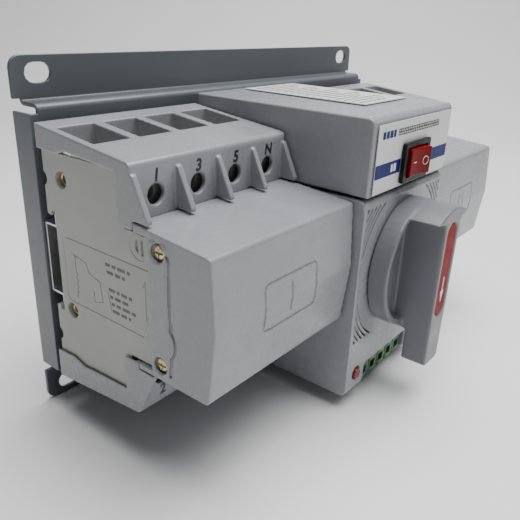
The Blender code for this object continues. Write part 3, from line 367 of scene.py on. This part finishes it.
# %% Paint
def painted(name, colour):
    finish, shader = new_finish(name)
    where = add(finish, "TexCoord").outputs["Object"]
    tone = mix(finish, noise(finish, where, 30, 5), shade(colour, 0.86), shade(colour, 1.14))
    # painted highlight: convex edges and bends are mixed up to 45% towards 2.6 times the paint colour, for the
    # bright line of light they catch
    pale_edges = spread(finish, add(finish, "NewGeometry").outputs["Pointiness"], 0.53, 0.66, 0, 0.45)
    tone = mix(finish, pale_edges, tone, shade(colour, 2.6))
    cells = add(finish, "TexVoronoi", {"Vector": where, "Scale": 1000 / 4})
    picked = add(finish, "Math", {0: cells.outputs["Color"], 1: 0.72}, operation="GREATER_THAN").outputs[0]
    dot = spread(finish, cells.outputs["Distance"], 0.02, 0.05, 0.5, 0)
    speck = add(finish, "Math", {0: picked, 1: dot}, operation="MULTIPLY").outputs[0]
    plug(finish, shader, "Base Color", mix(finish, speck, tone, shade(colour, 3.5)))
    plug(finish, shader, "Roughness", spread(finish, noise(finish, where, 4, 4), 0.3, 0.7, 0.30, 0.42))
    peel = add(finish, "Math", {
        0: noise(finish, where, 1.6, 2), 1: noise(finish, where, 0.25, 1),
    }, operation="ADD").outputs[0]
    bump = add(finish, "Bump", {"Height": peel, "Strength": 0.3, "Distance": 0.03 * MM})
    plug(finish, shader, "Normal", bump.outputs[0])
    shader.inputs["Coat Weight"].default_value = 0.25
    shader.inputs["Coat Roughness"].default_value = 0.18
    return finish


PAINT = painted("slate_paint", (0.083, 0.093, 0.103))
print("paint:", PAINT.name)

# %% [markdown]
# Metals here are plated or turned. Both take their colour from the reflection, so the base stays plain and
# the difference lies in fine lines along one direction and in patches where the shine is duller.

# %% Metals
def metal(name, colour, roughness, stretch=(1, 1, 1)):
    """Plated or turned metal: a bright base, fine lines along one direction and duller patches."""
    finish, shader = new_finish(name)
    shader.inputs["Metallic"].default_value = 1.0
    where = add(finish, "TexCoord").outputs["Object"]
    tone = mix(finish, noise(finish, where, 6, 4), shade(colour, 0.75), shade(colour, 1.15))
    plug(finish, shader, "Base Color", tone)
    plug(finish, shader, "Roughness", spread(
        finish, noise(finish, where, 2.5, 4), 0.3, 0.7, roughness - 0.08, roughness + 0.1,
    ))
    lines = noise(finish, where, 0.3, 2, stretch)
    bump = add(finish, "Bump", {"Height": lines, "Strength": 0.3, "Distance": 0.01 * MM})
    plug(finish, shader, "Normal", bump.outputs[0])
    return finish


ZINC = metal("zinc_plate", (0.60, 0.61, 0.62), 0.34, (0.1, 1, 1))
YELLOW_ZINC = metal("yellow_zinc", (0.58, 0.50, 0.28), 0.36)
BRASS = metal("brass", (0.72, 0.53, 0.22), 0.3)
MOTOR_STEEL = metal("motor_can", (0.5, 0.5, 0.5), 0.3, (1, 0.08, 1))
print("metals: zinc, yellow zinc, brass, motor can")

# %% [markdown]
# Labels are printed film. The film has a faint fibre and a satin face, and the inks on it are thin pieces of
# their own that stand a few hundredths of a millimetre proud, so their edges stay sharp from any distance.

# %% Film and inks
def film(name, colour, roughness=0.38, fibre=0.03, gloss=0.5):
    finish, shader = new_finish(name)
    shader.inputs["Specular IOR Level"].default_value = gloss
    where = add(finish, "TexCoord").outputs["Object"]
    tone = mix(finish, noise(finish, where, 14, 5), shade(colour, 1 - fibre), shade(colour, 1 + fibre))
    plug(finish, shader, "Base Color", mix(finish, noise(finish, where, 0.3, 2), tone, shade(colour, 0.96)))
    plug(finish, shader, "Roughness", spread(
        finish, noise(finish, where, 3, 3), 0.3, 0.7, roughness - 0.05, roughness + 0.08,
    ))
    satin = noise(finish, where, 0.6, 3)
    bump = add(finish, "Bump", {"Height": satin, "Strength": 0.2, "Distance": 0.01 * MM})
    plug(finish, shader, "Normal", bump.outputs[0])
    return finish


FILM = film("label_film", (0.68, 0.68, 0.69))
BLUE_INK = film("blue_ink", (0.010, 0.018, 0.13), 0.5, 0.12, 0.2)
BLACK_INK = film("black_ink", (0.012, 0.012, 0.014), 0.4, 0.2)
GREY_INK = film("grey_ink", (0.10, 0.105, 0.11), 0.45, 0.2)
WHITE_INK = film("white_ink", (0.78, 0.76, 0.76), 0.4, 0.06)
ETCHED = film("etched_line", (0.13, 0.135, 0.115), 0.6, 0.15)
print("finishes:", ", ".join(material.name for material in bpy.data.materials))

# %% [markdown]
# ## Printed lines that say nothing
# A rating plate needs rows of small print to look right, but nobody reads them. Rows of short bars with the
# rhythm of words do the job: word lengths come from a seeded random source, so each run is the same.

# %% Rows of print
def print_row(chance, start, along, up, length, height, word=(1.2, 5.0), space=0.9):
    """Outlines of word-long bars from a start point; along and up are directions in millimetres."""
    bars, run = [], 0.0
    while run < length:
        wide = min(chance.uniform(*word), length - run)
        corner = start + along * run
        end = corner + along * wide
        bars.append([corner, end, end + up * height, corner + up * height])
        run += wide + space
    return bars


# %% [markdown]
# ## The plate
# The plate is folded sheet: a raised panel, a step back at top and bottom, and slotted flanges. Punched
# edges are slightly rolled and the bends catch a thin bright line; a narrow bevel makes it, helped by a highlight
# painted along the edges in the slate paint.

# %% Mounting plate and rails
refine("mounting_plate", PAINT, 0.3, 2)
for side in SIDES:
    refine(side + "_din_rail", ZINC, 0.15, 1)
print("plate and rails done")

# %% [markdown]
# ## The breakers
# Only the two outer poles show their sides. Each side has two rivet wells with a brass eyelet at the bottom,
# a sunk round mark with two slots, and a label frame engraved as a thin line, with a small wiring sketch in
# it. The engraved frame is cut by a tube that lies half in the face; the sketch is raised hair lines.

# %% Lines on a breaker's side
RIVETS = ((13.7, MIDDLE + 30.8), (13.7, MIDDLE - 16.9))
MARK_AT = (51.6, 84.2)


def frame_lines(x):
    """The engraved frame: a corner at the upper rear, open towards the strap."""
    corner = arc((14.2, 75.2), 2.2, 90, 180, 6)
    foot = arc((14.2, 55.8), 2.2, 180, 270, 6)
    return [on_side([(56.8, 77.4), *corner, *foot, (52, 53.6)], x)]


def mark_cuts(sign, x):
    """The sunk round mark: a ring line and two slots inside it."""
    ring = tubes("ring_line", [on_side(arc(MARK_AT, 4.3, 60, 300, 20), x)], 0.2)
    u, v = MARK_AT
    left = [(u - 1.9, v - 0.9), (u - 0.4, v - 2.6), (u - 0.4, v + 2.4), (u - 1.9, v + 1.6)]
    right = [(u + 0.7, v - 2.6), (u + 1.9, v - 2.6), (u + 1.9, v + 2.4), (u + 0.7, v + 2.4)]
    slots = slabs("mark_slots", [on_side(o, x + sign * 1.0) for o in (left, right)], RIGHT * -sign * 1.7)
    return ring, slots


def sketch_lines(x):
    """A wiring sketch that belongs to no maker: a coil, a contact and the leads between them."""
    coil = [(18 + 0.9 * (step % 2), 66 - 1.1 * step) for step in range(8)]
    lines = [
        [(17, 72), (24, 71), (25.5, 67.5), (31, 66)], [(18, 72), (18, 66)], coil, [(18, 58.3), (18, 56)],
        [(31, 66), (32, 59), (27.5, 57.5), (27.5, 61.5)], [(35, 64), (36.5, 57)],
        [(53.6, 60), (53.6, 73.5), (52.4, 71.2)],
    ]
    return [on_side(line, x) for line in lines]


# %% Poles
PRINT_ROWS = ((34.5, 73.2), (35, 70.6), (35.5, 64.5), (36, 62), (36.5, 59.5), (37, 57))
chance = random.Random(7)
for side, sign in SIDES.items():
    outer = f"{side}_pole_{1 if sign < 0 else 4}"
    face = limits(outer)[0][0 if sign < 0 else 1]
    for number in range(1, 5):
        node = f"{side}_pole_{number}"
        cuts = ()
        if node == outer:
            cuts = (tubes("frame_line", frame_lines(face), 0.2), *mark_cuts(sign, face))
        refine(node, POLE, 0.3, 2, cuts)
    rings = [on_side(arc(spot, 1.75, 0, 345, 23), face - sign * 2.0) for spot in RIVETS]
    eyelets = tubes(side + "_rivet_eyelets", rings, 0.45, closed=True)
    smooth(eyelets)
    dress(eyelets, BRASS, "frame", "brass")
    sketch = tubes(side + "_wiring_sketch", sketch_lines(face), 0.1, sides=1)
    dress(sketch, ETCHED, "frame", "breaker_plastic")
    rows = []
    for row, (depth, height) in enumerate(PRINT_ROWS):
        rows += print_row(chance, at(face, depth, height), FORWARD, UP, 12 - row % 2 * 3, 1.1)
    dress(slabs(side + "_side_print", rows, RIGHT * sign * 0.05), ETCHED, "frame", "breaker_plastic")
print("breakers done")

# %% [markdown]
# ## Terminal covers
# The covers are the glossiest moulding, and their windows are deep, so the light inside falls off. Numerals
# stand beyond the driver holes, above them on the upper covers and below them on the lower ones. The odd
# numbers are on the upper side, the even ones below, and N is the neutral, as on any four-pole breaker. A
# numeral could be a picture on the face, but a thin solid keeps its edge sharp from any distance.

# %% Numerals
def numeral(name, text, place, size):
    """One printed numeral that faces forward, a hair proud of the face it sits on."""
    curve = bpy.data.curves.new(name, "FONT")
    curve.body = text
    curve.size = size * MM
    curve.shear = 0.12
    curve.align_x = "CENTER"
    curve.align_y = "CENTER"
    curve.offset = 0.2 * MM
    curve.extrude = 0.04 * MM
    letter = bpy.data.objects.new(name, curve)
    letter.matrix_world = Matrix.Translation(place) @ Matrix.Rotation(math.radians(90), 4, "X")
    bpy.context.scene.collection.objects.link(letter)
    bpy.context.view_layer.update()
    mesh = bpy.data.meshes.new_from_object(letter.evaluated_get(bpy.context.evaluated_depsgraph_get()))
    mesh.transform(letter.matrix_world)
    bpy.data.objects.remove(letter)
    piece = bpy.data.objects.new(name, mesh)
    bpy.context.scene.collection.objects.link(piece)
    return piece


# %% [markdown]
# Turned screws are a stack of rings: a pan head is a circle that narrows as it rises, closed by a point.
# Screws of one kind share a mesh, and one boolean cuts the driver slots of them all.

# %% Screws that share one mesh
def screw_heads(name, places, direction, radius, height, cross=True):
    """Pan heads with a cross or one slot, all in one mesh; places are their seats."""
    shape = bmesh.new()
    up = direction.normalized()
    turn = up.to_track_quat("Z", "Y").to_matrix().to_4x4()
    rings = ((1.0, 0.0), (1.0, 0.35), (0.93, 0.6), (0.78, 0.82), (0.5, 0.96), (0.0, 1.0))
    for place in places:
        profile = [(radius * r * MM, height * h * MM) for r, h in rings]
        start = bmesh.ops.create_circle(shape, cap_ends=True, segments=20, radius=profile[0][0])["verts"]
        last = start
        for r, h in profile[1:-1]:
            ring = bmesh.ops.create_circle(shape, segments=20, radius=r)["verts"]
            bmesh.ops.translate(shape, vec=(0, 0, h), verts=ring)
            for index in range(20):
                following = (index + 1) % 20
                shape.faces.new((last[index], last[following], ring[following], ring[index]))
            start = start + ring
            last = ring
        tip = shape.verts.new((0, 0, profile[-1][1]))
        for index in range(20):
            shape.faces.new((last[index], last[(index + 1) % 20], tip))
        bmesh.ops.transform(shape, matrix=Matrix.Translation(place) @ turn, verts=[*start, tip])
    heads = piece_of(name, shape)
    bars = bmesh.new()
    for place in places:
        for wide, tall in ((1.5, 0.22), (0.22, 1.5)) if cross else ((1.9, 0.28),):
            block = bmesh.ops.create_cube(bars, size=1)["verts"]
            size = Matrix.Diagonal((wide * radius * MM, tall * radius * MM, height * MM, 1))
            lift = Matrix.Translation((0, 0, height * MM))
            bmesh.ops.transform(bars, matrix=Matrix.Translation(place) @ turn @ lift @ size, verts=block)
    carve(heads, piece_of("recess", bars), crossing=cross)
    smooth(heads)
    return heads


# %% Covers, numerals and terminal screws
COVER_SKIN = (0.35, 4)  # voxel size in millimetres, rounds of smoothing
DRIVER_RISE, DRIVER_SEAT = 31.9, 34
NUMERAL_RISE, NUMERAL_SIZE = 37.8, 5.3
BOX_GAP = 0.3  # from the terminal covers' front to the back of the box cover
for side, sign in SIDES.items():
    poles = [sum(limits(f"{side}_pole_{number}")[0]) / 2 for number in range(1, 5)]
    screws = []
    for row, up, labels in (("upper", 1, "135N"), ("lower", -1, "246N")):
        node = f"{side}_{row}_terminal_cover"
        soften(node, COVER, *COVER_SKIN)
        front = limits(f"{side}_front_cover")[1][0] - BOX_GAP
        for x, label in zip(poles, labels):
            name = f"{side}_{row}_numeral_{label}"
            height = MIDDLE + up * NUMERAL_RISE
            dress(numeral(name, label, at(x, front, height), NUMERAL_SIZE), BLACK_INK, "frame", "label")
            screws.append(at(x, DRIVER_SEAT, MIDDLE + up * DRIVER_RISE))
    heads = screw_heads(side + "_terminal_screws", screws, FORWARD, 2.9, 1.8, cross=True)
    dress(heads, ZINC, "frame", "zinc_steel")
print("terminal covers done")

# %% [markdown]
# ## Box covers
# A box covers each breaker's joined toggles. Its front has a slight ridge, and a sunk frame with one bar or
# two that number the source. The strap at the outer side has a groove along its front edge, which runs out
# around a lobe, and two recessed screws. All the lines are cut by thin tubes that lie half in the skin.

# %% Engraving on the box's front
def front_depth(height):
    """How far forward the box's front is: it rises to a ridge a little below the middle."""
    (_, _), (_, ridge), (foot, top) = limits("left_front_cover")
    middle = MIDDLE - 1
    if height < middle:
        return ridge - 2.4 * (middle - height) / (middle - foot)
    return ridge - 1.8 * (height - middle) / (top - 2.6 - middle)


def on_box(outline):
    """Outline points laid on the ridged front."""
    return [at(x, front_depth(height), height) for x, height in outline]


def engraving(sign, source):
    """A rounded frame, and the source's number inside it, as two sets of lines to cut."""
    centre = sign * 72
    outline = rounded_box((centre - 14, centre + 14), (57.8, 74), 1.6, 4)
    dense = []
    for index, (u, v) in enumerate(outline):
        nu, nv = outline[(index + 1) % len(outline)]
        pieces = max(1, round(math.hypot(nu - u, nv - v) / 2))
        dense += [(u + (nu - u) * step / pieces, v + (nv - v) * step / pieces) for step in range(pieces)]
    places = [centre + (bar - (source - 1) / 2) * 5 for bar in range(source)]
    return on_box(dense), [on_box([(x, 61), (x, 65.4), (x, 70.8)]) for x in places]


# %% Boxes and straps
STRAP_MIDDLE, STRAP_PROUD = 60.95, 0.5
STRAP_SCREW_RISE, SEAT_SINK = 18.9, 1.1
GROOVE_FRONT, LOBE_DROP, LOBE_RADIUS = 65.2, 9.9, 6.6
for side, sign in SIDES.items():
    node = side + "_front_cover"
    outer = limits(node)[0][0 if sign < 0 else 1]
    skin = outer - sign * STRAP_PROUD
    ring, bars = engraving(sign, 1 if sign < 0 else 2)
    ring, bars = tubes("ring", [ring], 0.32, closed=True), tubes("bars", bars, 0.32)
    curl = arc((61.4, 82.6), 4.1, 75, 0, 8)
    lobe = arc((STRAP_MIDDLE, MIDDLE - LOBE_DROP), LOBE_RADIUS, 44, -44, 10)
    edge = [*curl, (GROOVE_FRONT, 70), *lobe, (GROOVE_FRONT, 45)]
    groove = tubes("strap_groove", [on_side(edge, skin)], 0.45)
    soften(node, COVER, *COVER_SKIN, cuts=(ring, bars, groove))
    seats = [at(skin - sign * SEAT_SINK, STRAP_MIDDLE, MIDDLE + up * STRAP_SCREW_RISE) for up in (1, -1)]
    screws = screw_heads(side + "_strap_screw_heads", seats, RIGHT * sign, 2.45, 0.9)
    dress(
        screws, YELLOW_ZINC, "frame", "zinc_steel",
        side + "_upper_strap_screw", side + "_lower_strap_screw",
    )
print("box covers done")

# %% [markdown]
# ## Drive housing
# The housing's front carries four fans of curved vent slots around the handle, two small lamps and a pocket
# with the signal terminals. Each fan is a set of arcs around the handle's axis, clipped by the housing's
# edge, so each arc's two end angles follow from its radius.

# %% Vents
FAN_X, FAN_RISE, FAN_FIRST, FAN_STEP, SLOT = 31.6, 27.8, 32.8, 1.95, 0.95


def vent_fan(sign_x, sign_z):
    slots = []
    for index in range(4):
        radius = FAN_FIRST + index * FAN_STEP
        start = math.degrees(math.acos(min(1, FAN_X / radius))) + 1
        end = math.degrees(math.asin(min(1, FAN_RISE / radius))) - 1
        inner = arc((0, 0), radius, start, end, 8)
        outer = arc((0, 0), radius + SLOT, end, start, 8)
        slots.append(inner + outer)
    tip = FAN_FIRST + 4 * FAN_STEP
    side_reach = math.sqrt(tip ** 2 - FAN_X ** 2)
    top_reach = math.sqrt(tip ** 2 - FAN_RISE ** 2)
    slots.append([(FAN_X, side_reach), (FAN_X, FAN_RISE), (top_reach, FAN_RISE)])
    return [[(sign_x * x, HANDLE_AT + sign_z * z) for x, z in slot] for slot in slots]


fans = [slot for sx in (-1, 1) for sz in (-1, 1) for slot in vent_fan(sx, sz)]
vents = slabs("vents", [on_front(slot, UNIT_FRONT - 4) for slot in fans], FORWARD * 6)
refine("gear_housing", COVER, 1.0, 3, (vents,))
for side in SIDES:
    refine("led_" + side, moulded("lamp_" + side, (0.16, 0.006, 0.008), 0.14, dust=0, rub=0), 0.1, 1)
print("vent slots:", len(fans))

# %% [markdown]
# ## Signal terminals
# A plug-in terminal strip is a comb of funnels: a square wire entry low in each way and a round driver hole
# above it with a small screw. The frame's solid has the entries, and the ribs and screws come here.

# %% Terminal strip
(strip_left, strip_right), (_, strip_front), (strip_low, strip_high) = limits("signal_terminals")
WAYS = 5
pitch = (strip_right - strip_left) / WAYS
centres = [strip_left + (way + 0.5) * pitch for way in range(WAYS)]
ribs = slabs("rib_gaps", [
    on_front([
        (x - 0.35, strip_low - 1), (x + 0.35, strip_low - 1),
        (x + 0.35, strip_high + 1), (x - 0.35, strip_high + 1),
    ], strip_front - 1.2)
    for x in (strip_left + way * pitch for way in range(1, WAYS))
], FORWARD * 3)
refine("signal_terminals", GREEN, 0.25, 2, (ribs,))
seats = [at(x, strip_front - 8, strip_high) for x in centres]
heads = screw_heads("signal_screws", seats, UP, 1.9, 0.35, cross=False)
dress(heads, ZINC, "frame", "zinc_steel")
print("signal terminal ways:", WAYS)

# %% [markdown]
# ## Control box
# The control box is the same grey moulding. Its front is covered by a white label with a blue band, and a
# black bezel holds the rocker. The top has a larger label with rows of print. Nothing on either can be read:
# the title, the words and the rows are bars of ink with the rhythm of writing.

# %% Control box and its labels
refine("controller_cover", COVER, 0.8, 3)
for node in ("front_label", "rating_label"):
    refine(node, FILM, 0.08, 1)
(label_left, label_right), (_, label_face), _ = limits("front_label")
(bezel_left, bezel_right), _, _ = limits("rocker_bezel")
BAND_FOOT, BAND_TOP = 97.0, 102.1
WORD_ROWS = (  # foot, row length, bar height, word lengths, gap between words
    (111.9, 36, 0.55, (0.9, 2.2), 0.35),
    (110.9, 36, 0.45, (0.6, 1.8), 0.35),
    (112.9, 35, 0.45, (0.6, 1.8), 0.35),
    (111.0, 36, 2.3, (0.35, 0.5), 1.1),
)
bands = [
    on_front([(left, BAND_FOOT), (right, BAND_FOOT), (right, BAND_TOP), (left, BAND_TOP)], label_face)
    for left, right in ((label_left, bezel_left), (bezel_right, label_right))
]
dress(slabs("label_band", bands, FORWARD * 0.03), BLUE_INK, "frame", "label")
chance = random.Random(11)
title = print_row(chance, at(label_left + 3, label_face, 110.9), RIGHT, UP, 10, 2.6, (1.9, 2.4), 0.5)
dress(slabs("label_title", title, FORWARD * 0.04), BLUE_INK, "frame", "label")
words = []
for foot, length, tall, word, space in WORD_ROWS:
    start = at(label_left + 15, label_face, foot)
    words += print_row(chance, start, RIGHT, UP, length, tall, word, space)
dress(slabs("label_words", words, FORWARD * 0.04), BLACK_INK, "frame", "label")
start = at(bezel_left - 7.5, label_face + 0.02, 98.1)
marks = print_row(chance, start, RIGHT, UP, 4.4, 2.8, (1.6, 2.0), 0.6)
dress(slabs("band_marks", marks, FORWARD * 0.04), WHITE_INK, "frame", "label")
print("front label: bars of print", len(title) + len(words) + len(marks))

# %% Rating label
(plate_left, plate_right), (plate_back, _), (_, plate_face) = limits("rating_label")
rows, chance = [], random.Random(23)
ROWS, ROW_PITCH = 15, 3.7
for row in range(ROWS):
    depth = plate_back + 4 + row * ROW_PITCH
    length = (plate_right - plate_left) - 5 - (row % 3) * 5
    start = at(plate_left + 2.5, depth + 1.2, plate_face)
    rows += print_row(chance, start, RIGHT, FORWARD * -1, length, 1.3)
dress(slabs("rating_print", rows, UP * 0.04), GREY_INK, "frame", "label")
print("rating rows:", ROWS)

# %% [markdown]
# The rocker rests tipped to one side, so its two marks can't lie on an upright plane. They are placed from
# the rocker's pin and turned with it, and they ride on its body, so they follow when it is pressed.

# %% Rocker
refine("rocker_bezel", DARK, 0.25, 2)
refine("rocker_button", RED, 0.4, 3)
TILT, FACE = math.radians(8), 6.5  # how far it is tipped, and its face's distance from the pin
rocker_joint = next(j for j in frame["joints"] if j["name"] == "rocker_tilt")
pin = Vector(rocker_joint["pos_m"])


def on_rocker(x, out, height):
    """A point on the tipped rocker, from its pin."""
    return pin + Vector((
        (x * math.cos(TILT) - out * math.sin(TILT)) * MM, -(x * math.sin(TILT) + out * math.cos(TILT)) * MM,
        height * MM,
    ))


dash = tubes("rocker_dash", [[on_rocker(-4.6, FACE + 0.53, 0), on_rocker(-2.4, FACE + 0.27, 0)]], 0.18)
dress(dash, WHITE_INK, "rocker", "label")
circle = [on_rocker(x, FACE + 0.8 * x / 7, z) for x, z in arc((3.6, 0), 1.6, 0, 345, 23)]
dress(tubes("rocker_circle", [circle], 0.13, closed=True), WHITE_INK, "rocker", "label")
print("rocker done")

# %% [markdown]
# ## Handle
# The handle is one thick moulding with soft corners, made for a gloved hand. A red strip with a white arrow
# is let into the grip and shows which way it points.

# %% Handle, insert and arrow
HANDLE_SKIN = (0.45, 12)
soften("rotary_handle", HANDLE, *HANDLE_SKIN)
refine("handle_insert", INSERT, 0.15, 2)
insert_face = limits("handle_insert")[1][1]
shaft = [(-0.4, 50), (0.4, 50), (0.4, 56), (-0.4, 56)]
head = [(0, 44.6), (1.5, 50), (-1.5, 50)]
arrow = slabs("handle_arrow", [on_front(shaft, insert_face), on_front(head, insert_face)], FORWARD * 0.05)
dress(arrow, WHITE_INK, "handle", "label")
print("handle done")

# %% [markdown]
# ## Inside
# The gears, racks and switches hardly show, but the vents and slots give glimpses of them, so they keep
# their solids and only get proper finishes.

# %% Finishes for what stays as it is
INSIDE = {
    NYLON: ("drive_gear", "slide_guide", "left_slider", "right_slider"),
    BRASS: ("motor_pinion", "rack_pinion"),
    ZINC: ("bearing_plate", "handle_shaft"),
    MOTOR_STEEL: ("motor_gearbox", "drive_motor"),
    DARK: (
        "drive_base", "left_toggle_bar", "right_toggle_bar", "supply_transformer", "relay_1", "relay_2",
        "travel_switch_left", "travel_switch_right",
    ),
    moulded("board_lacquer", (0.02, 0.10, 0.05), 0.4, cloud=0.15): ("controller_board",),
}
for finish, nodes in INSIDE.items():
    for node in nodes:
        mesh = frame["nodes"][node].data
        mesh.materials.clear()
        mesh.materials.append(finish)

# %% [markdown]
# ## Light and camera
# A pale sweep stands for a table and a wall, and its paper is painted darker with height: a painted shade for
# the light falling off up the wall. A broad soft lamp above makes the tops bright. A faint one on the right lifts
# that side a little, and the sides facing away from both stay darkest.

# %% Stage
sweep = bmesh.new()
profile = [(-1.2, 0.0), (0.55, 0.0)] + [
    (0.55 + 0.4 * math.sin(math.radians(a)), 0.4 - 0.4 * math.cos(math.radians(a))) for a in range(10, 91, 10)
] + [(0.95, 2.2)]
rows = [[sweep.verts.new((x, y, z - 0.0002)) for y, z in profile] for x in (-2.5, 2.5)]
for index in range(len(profile) - 1):
    sweep.faces.new((rows[0][index], rows[1][index], rows[1][index + 1], rows[0][index + 1]))
floor = piece_of("sweep", sweep)
floor.rotation_euler.z = math.radians(-52)
floor.data.shade_smooth()
PAPER, shader = new_finish("pale_paper")
where = add(PAPER, "TexCoord").outputs["Object"]
paper = mix(PAPER, noise(PAPER, where, 180, 4), (0.86, 0.86, 0.86, 1), (0.90, 0.90, 0.90, 1))
# painted shade: the paper's colour is mixed towards a darker grey with height, standing in for light falling off
# up the wall
height = add(PAPER, "SeparateXYZ", {"Vector": where}).outputs["Z"]
plug(PAPER, shader, "Base Color", mix(
    PAPER, spread(PAPER, height, 0.02, 0.6, 0, 1), paper, (0.56, 0.555, 0.55, 1),
))
shader.inputs["Roughness"].default_value = 0.55
floor.data.materials.append(PAPER)


# %% Lamps
def lamp(name, place, target, size, power):
    light = bpy.data.lights.new(name, "AREA")
    light.size = size
    light.energy = power
    thing = bpy.data.objects.new(name, light)
    thing.location = place
    thing.rotation_euler = (Vector(target) - Vector(place)).to_track_quat("-Z", "Y").to_euler()
    bpy.context.scene.collection.objects.link(thing)


lamp("ceiling_softbox", (0.12, -0.12, 0.95), (0, 0, 0.06), 0.9, 20)
lamp("right_fill", (1.1, -0.5, 0.6), (0.1, 0, 0.05), 0.6, 0.6)
world = bpy.data.worlds.new("room")
world.use_nodes = True
world.node_tree.nodes["Background"].inputs["Color"].default_value = (0.93, 0.96, 1.0, 1)
world.node_tree.nodes["Background"].inputs["Strength"].default_value = 0.12
bpy.context.scene.world = world

# %% Camera
lens = bpy.data.cameras.new("camera")
lens.lens = 40.42
lens.sensor_width = 36
lens.clip_start = 0.01
camera = bpy.data.objects.new("camera", lens)
camera.location = (-0.2127, -0.1307, 0.1492)
camera.rotation_euler = [math.radians(angle) for angle in (67.2, -2.17, -51.25)]
bpy.context.scene.collection.objects.link(camera)
bpy.context.scene.camera = camera
